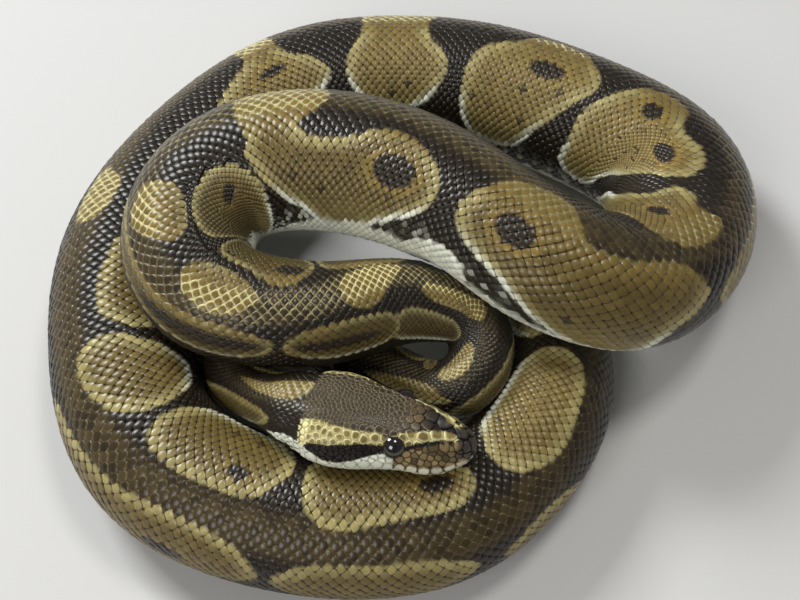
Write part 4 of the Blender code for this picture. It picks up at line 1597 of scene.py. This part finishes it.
# %% Cut each plate back against its neighbours and against the holes
GROOVE = 0.00008               # half the seam between two plates
LIP_GROOVE = 0.00020
CORNER_SHARPNESS = 14.0
MOUTH_END = 0.0385
NEIGHBOURS = (3.2, 0.0018)     # how far off neighbours can be, in the plate's sizes, and the least size
SIDE_LIMIT = 0.004             # how far off the mouth or a hole can be
MOST_REACH = 0.95              # of a plate, in its sizes
mouth_s = row_s[row_s < MOUTH_END]
mouth_line = np.concatenate([on_grid(grid, mouth_s, np.full(len(mouth_s), 90.0 * side)) for side in (1, -1)])


def plate_reach(i, directions):
    """How far a plate reaches in each of the directions, which are unit vectors across its seed."""
    spot, out = seeds[i], seed_out[i]
    gaps = seeds - spot
    far = np.linalg.norm(gaps, axis=1)
    near = (far > 0) & (far < NEIGHBOURS[0] * max(seed_size[i], NEIGHBOURS[1])) & (seed_out @ out > -0.2)
    gaps, far = gaps[near], far[near]
    flat = unit(gaps - (gaps @ out)[:, None] * out)
    wall = far / 2 + (seed_size[i] ** 2 - seed_size[near] ** 2) / (8 * far) - GROOVE
    mouth = mouth_line - spot
    to_mouth = np.linalg.norm(mouth, axis=1)
    nearest = to_mouth.argmin()
    if to_mouth[nearest] < SIDE_LIMIT:
        across = mouth[nearest] - (mouth[nearest] @ out) * out
        flat = np.concatenate([flat, unit(across)[None]])
        wall = np.append(wall, to_mouth[nearest] - LIP_GROOVE)
    facing = flat @ directions.T
    limits = wall[:, None] / np.maximum(facing, 1e-3)
    reach = (np.clip(limits, 1e-5, 1.0) ** -CORNER_SHARPNESS).sum(0) ** (-1 / CORNER_SHARPNESS)
    for hole, radius in HOLES:
        offset = hole - spot
        if np.linalg.norm(offset) > radius + SIDE_LIMIT:
            continue
        offset = offset - (offset @ out) * out
        ahead = directions @ offset
        room = radius**2 - (offset @ offset - ahead**2)
        cut = ahead - np.sqrt(np.maximum(room, 0.0))
        reach = np.where((room > 0) & (ahead > 0), np.minimum(reach, np.maximum(cut, 5e-5)), reach)
    return np.minimum(reach, MOST_REACH * seed_size[i])

# %% The shape of one plate
PLATE_RINGS = ((0.50, 1.00), (0.80, 0.90), (1.00, 0.52))   # share of the reach, and of the height
SMALL_RINGS = ((0.62, 0.96), (1.00, 0.50))
PLATE_LIMITS = (0.0016, 0.0030)          # sizes from which a plate is middling, and large
PLATE_CORNERS = (9, 14, 22)    # of small, middling and large plates
PLATE_FOOT = 0.00034           # how far its rim goes down into the skin
PLATE_HEIGHT = (0.00005, 0.000065, 0.0012, 2.4)   # least, and what is added for each size, up to how many
SNAP = 0.003                   # how far above and below the surface lies at most
PATCH_REACH = (0.42, 0.49)     # of a plate's top and of its foot on the patch


def plate_relief(mm, angle):
    """How strongly a plate is domed: the crown and the dark stripe behind the eye are nearly smooth."""
    a = side_of(angle)
    crown = (mm > 14) & (a < 34)
    lens = (mm > 21) & (a > 46) & (a < 82)
    return 0.50 if crown or lens else 1.0


def snapped(points, out):
    """The points moved along the normal onto the head's surface."""
    found = []
    for point in points:
        hit = surface.ray_cast(Vector(point + SNAP * out), Vector(-out), 2 * SNAP)[0]
        found.append(np.array(hit) if hit else point)
    return np.array(found)


def model_plate(i):
    """Points, faces, share of the reach at each point, and each point's place on the plate's patch."""
    size, out = seed_size[i], seed_out[i]
    rings = SMALL_RINGS if size < PLATE_LIMITS[0] else PLATE_RINGS
    count = PLATE_CORNERS[sum(size >= limit for limit in PLATE_LIMITS)]
    first = unit(np.cross(out, spine_tailward[0]) + 1e-6)
    second = np.cross(out, first)
    turn = np.arange(count) * 2 * math.pi / count
    circle = np.stack([np.cos(turn), np.sin(turn)], 1)
    directions = circle[:, :1] * first + circle[:, 1:] * second
    reach = plate_reach(i, directions)
    middle = (directions * reach[:, None]).sum(0) / count * 0.6
    rim = directions * reach[:, None] - middle
    flat = np.concatenate([[seeds[i] + middle]] + [seeds[i] + middle + rim * share for share, tall in rings])
    height = np.array([1.0] + [tall for share, tall in rings for _ in range(count)])
    least, growth, unit_size, most = PLATE_HEIGHT
    thick = (least + growth * min(size / unit_size, most)) * plate_relief(seed_s[i] / MM, seed_angle[i])
    low = snapped(flat, out)
    points = np.concatenate([low + out * (height * thick)[:, None], low[-count:] - out * PLATE_FOOT])
    edge = [0.0] + [share for share, tall in rings for _ in range(count)] + [1.0] * count
    reaches = [PATCH_REACH[0] * share for share, tall in rings] + [PATCH_REACH[1]]
    spread = np.concatenate([np.zeros((1, 2))] + [circle * each for each in reaches])
    pairs = [(k, (k + 1) % count) for k in range(count)]
    faces = [(0, 1 + a, 1 + b) for a, b in pairs]
    for low_ring in range(1, 1 + len(rings) * count, count):
        faces += [(low_ring + a, low_ring + count + a, low_ring + count + b, low_ring + b) for a, b in pairs]
    faces.append(tuple(range(len(points) - count, len(points)))[::-1])
    return points, faces, edge, spread

# %% Model all the plates
FOOT_PLACE, FOOT_SIZE = 0.47, 0.04       # where a plate's hidden face lies on its patch, and its size
LAST_MARGIN = 0.0002           # no plate is centred this near the coat


def shrink_feet(mesh, corner_map):
    """Shrinks the map of the hidden faces, the only ones with many corners, into their patch's corner."""
    sizes = np.empty(len(mesh.polygons), np.int32)
    mesh.polygons.foreach_get("loop_total", sizes)
    starts = np.concatenate([[0], np.cumsum(sizes)[:-1]])
    for k in np.nonzero(sizes > 4)[0]:
        corners = slice(starts[k], starts[k] + sizes[k])
        centre = corner_map[corners].mean(0)
        corner_map[corners] = centre - PATCH * FOOT_PLACE + (corner_map[corners] - centre) * FOOT_SIZE


def make_plates():
    points, faces, edges, luck, places = [], [], [], [], []
    for i in range(len(seeds)):
        if seed_s[i] > HEAD_END - LAST_MARGIN:
            continue
        body, around, edge, spread = model_plate(i)
        base = len(luck)
        points.append(body)
        faces += [tuple(base + corner for corner in face) for face in around]
        edges += edge
        luck += [dice.random()] * len(body)
        places.append(unwrap(seed_s[i], seed_angle[i] % 360.0) + PATCH * spread)
    points = np.concatenate(points)
    made = new_object("head_plates", points, faces, plate_horn)
    put_colours(made.data, *colours(*place_of(points), np.array(luck)))
    put(made.data, "edge", "FLOAT", "POINT", edges)
    corner_map = at_corners(made.data, np.concatenate(places))
    shrink_feet(made.data, corner_map)
    put(made.data, "OFBake", "FLOAT2", "CORNER", corner_map)
    keep_inside(made)
    print("head plates:", sum(len(face) - 2 for face in faces), "triangles")
    return made


plates = make_plates()

# %% [markdown]
# ## The eyes
#
# A snake has no eyelids: a clear scale covers the eye, so it shines like glass. The iris is nearly
# black, with the pupil a darker upright slit. A flat disc would lose the round highlight, so each eye is
# a fine ball in its socket, at the animal's own size, and the slit is painted on it by place.

# %% Eyeballs
def eye_finish():
    tree, shader, made = new_material("eye_glass", Roughness=0.06, Coat_Weight=1.0, Coat_Roughness=0.02)
    tint = tree.node("ShaderNodeAttribute", {"attribute_name": "tint"})
    tree.feed(shader.inputs["Base Color"], tint)
    return made


eye_gloss = eye_finish()
IRIS = paint(30, 24, 20)
PUPIL = paint(4, 4, 4)
PUPIL_HALF = (0.0006, 0.0017)  # half width and half height of the slit
STREAKS = 9                    # in the iris, half way round


def make_eye(name, side):
    middle, look, up, along_head = eye_axes(side)
    work = bmesh.new()
    bmesh.ops.create_uvsphere(work, u_segments=72, v_segments=48, radius=EYE_RADIUS)
    mesh = bpy.data.meshes.new(name)
    work.to_mesh(mesh)
    work.free()
    local = np.empty(len(mesh.vertices) * 3)
    mesh.vertices.foreach_get("co", local)
    local = local.reshape(-1, 3)
    world = middle + local[:, :1] * along_head + local[:, 1:2] * up + local[:, 2:] * look
    mesh.vertices.foreach_set("co", world.ravel())
    slit = (local[:, 0] / PUPIL_HALF[0]) ** 2 + (local[:, 1] / PUPIL_HALF[1]) ** 2
    streak = 0.75 + 0.5 * np.sin(STREAKS * np.arctan2(local[:, 1], local[:, 0])) ** 2
    put_colours(mesh, mixed(PUPIL, IRIS * streak[:, None], ease(0.8, 1.3, slit)))
    mesh.shade_smooth()
    mesh.materials.append(eye_gloss)
    return show(name, mesh)


eyes = {"eye_left": make_eye("glass_eye_left", 1), "eye_right": make_eye("glass_eye_right", -1)}
print("eyes:", ", ".join(made.name for made in eyes.values()))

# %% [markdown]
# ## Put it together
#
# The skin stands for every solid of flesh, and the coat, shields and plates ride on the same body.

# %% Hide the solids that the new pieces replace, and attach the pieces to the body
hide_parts(*flesh)
for node, made in eyes.items():
    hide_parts(node)
    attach(made, "root")
for made in [skin, *coat, *shields, plates]:
    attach(made, "root")
print(1 + len(coat) + len(shields) + 1 + len(eyes), "pieces in all")

# %% [markdown]
# ## Floor, light and camera
#
# A plain pale floor and soft light show the shape. One large window on the far left gives the satin
# scales their highlights, and a ceiling light and a front light keep the near side open. A long lens
# looks down at the coil from the front, which keeps the loops in proportion.

# %% Floor
FLOOR_HALF = 3.0
floor_paper = new_material("floor_paper", Base_Color=(0.62, 0.61, 0.59, 1.0), Roughness=0.75)[2]
floor_corners = np.array([(-1, -1, 0), (1, -1, 0), (1, 1, 0), (-1, 1, 0)]) * FLOOR_HALF
floor = new_object("floor", floor_corners, [(0, 1, 2, 3)], floor_paper)
print("floor:", 2 * FLOOR_HALF, "m wide")

# %% Lights
def area_light(name, place, aim, size, power, colour):
    lamp = bpy.data.lights.new(name, "AREA")
    lamp.shape = "RECTANGLE"
    lamp.size, lamp.size_y = size
    lamp.energy = power
    lamp.color = colour
    made = show(name, lamp)
    made.location = place
    made.rotation_euler = (Vector(aim) - Vector(place)).to_track_quat("-Z", "Y").to_euler()


area_light("window", (-0.70, 0.60, 0.85), (0, 0, 0.02), (0.40, 0.40), 13.0, (0.95, 0.98, 1.0))
area_light("ceiling", (0.30, 0.25, 1.30), (0, 0, 0), (0.30, 0.30), 5.0, (1.0, 0.98, 0.95))
area_light("front", (-0.45, -0.75, 0.75), (0, 0, 0.02), (0.50, 0.50), 5.0, (1.0, 0.98, 0.95))
sky = bpy.data.worlds.new("sky")
sky.use_nodes = True
sky_shader = sky.node_tree.nodes["Background"]
sky_shader.inputs["Color"].default_value = (0.90, 0.93, 1.0, 1.0)
sky_shader.inputs["Strength"].default_value = 0.17
bpy.context.scene.world = sky
bpy.context.scene.view_settings.view_transform = "Standard"

# %% Camera
AIM = Vector((-0.0027, -0.0075, 0.0150))
DISTANCE = 0.400
ELEVATION = math.radians(58.0)
lens = bpy.data.cameras.new("camera")
lens.lens = 60.0
lens.sensor_width = 36.0
camera = show("camera", lens)
camera.location = AIM + DISTANCE * Vector((0.0, -math.cos(ELEVATION), math.sin(ELEVATION)))
camera.rotation_euler = (AIM - camera.location).to_track_quat("-Z", "Y").to_euler()
bpy.context.scene.camera = camera
print(f"the camera looks down {math.degrees(ELEVATION):.0f} degrees, {DISTANCE / MM:.0f} mm off")
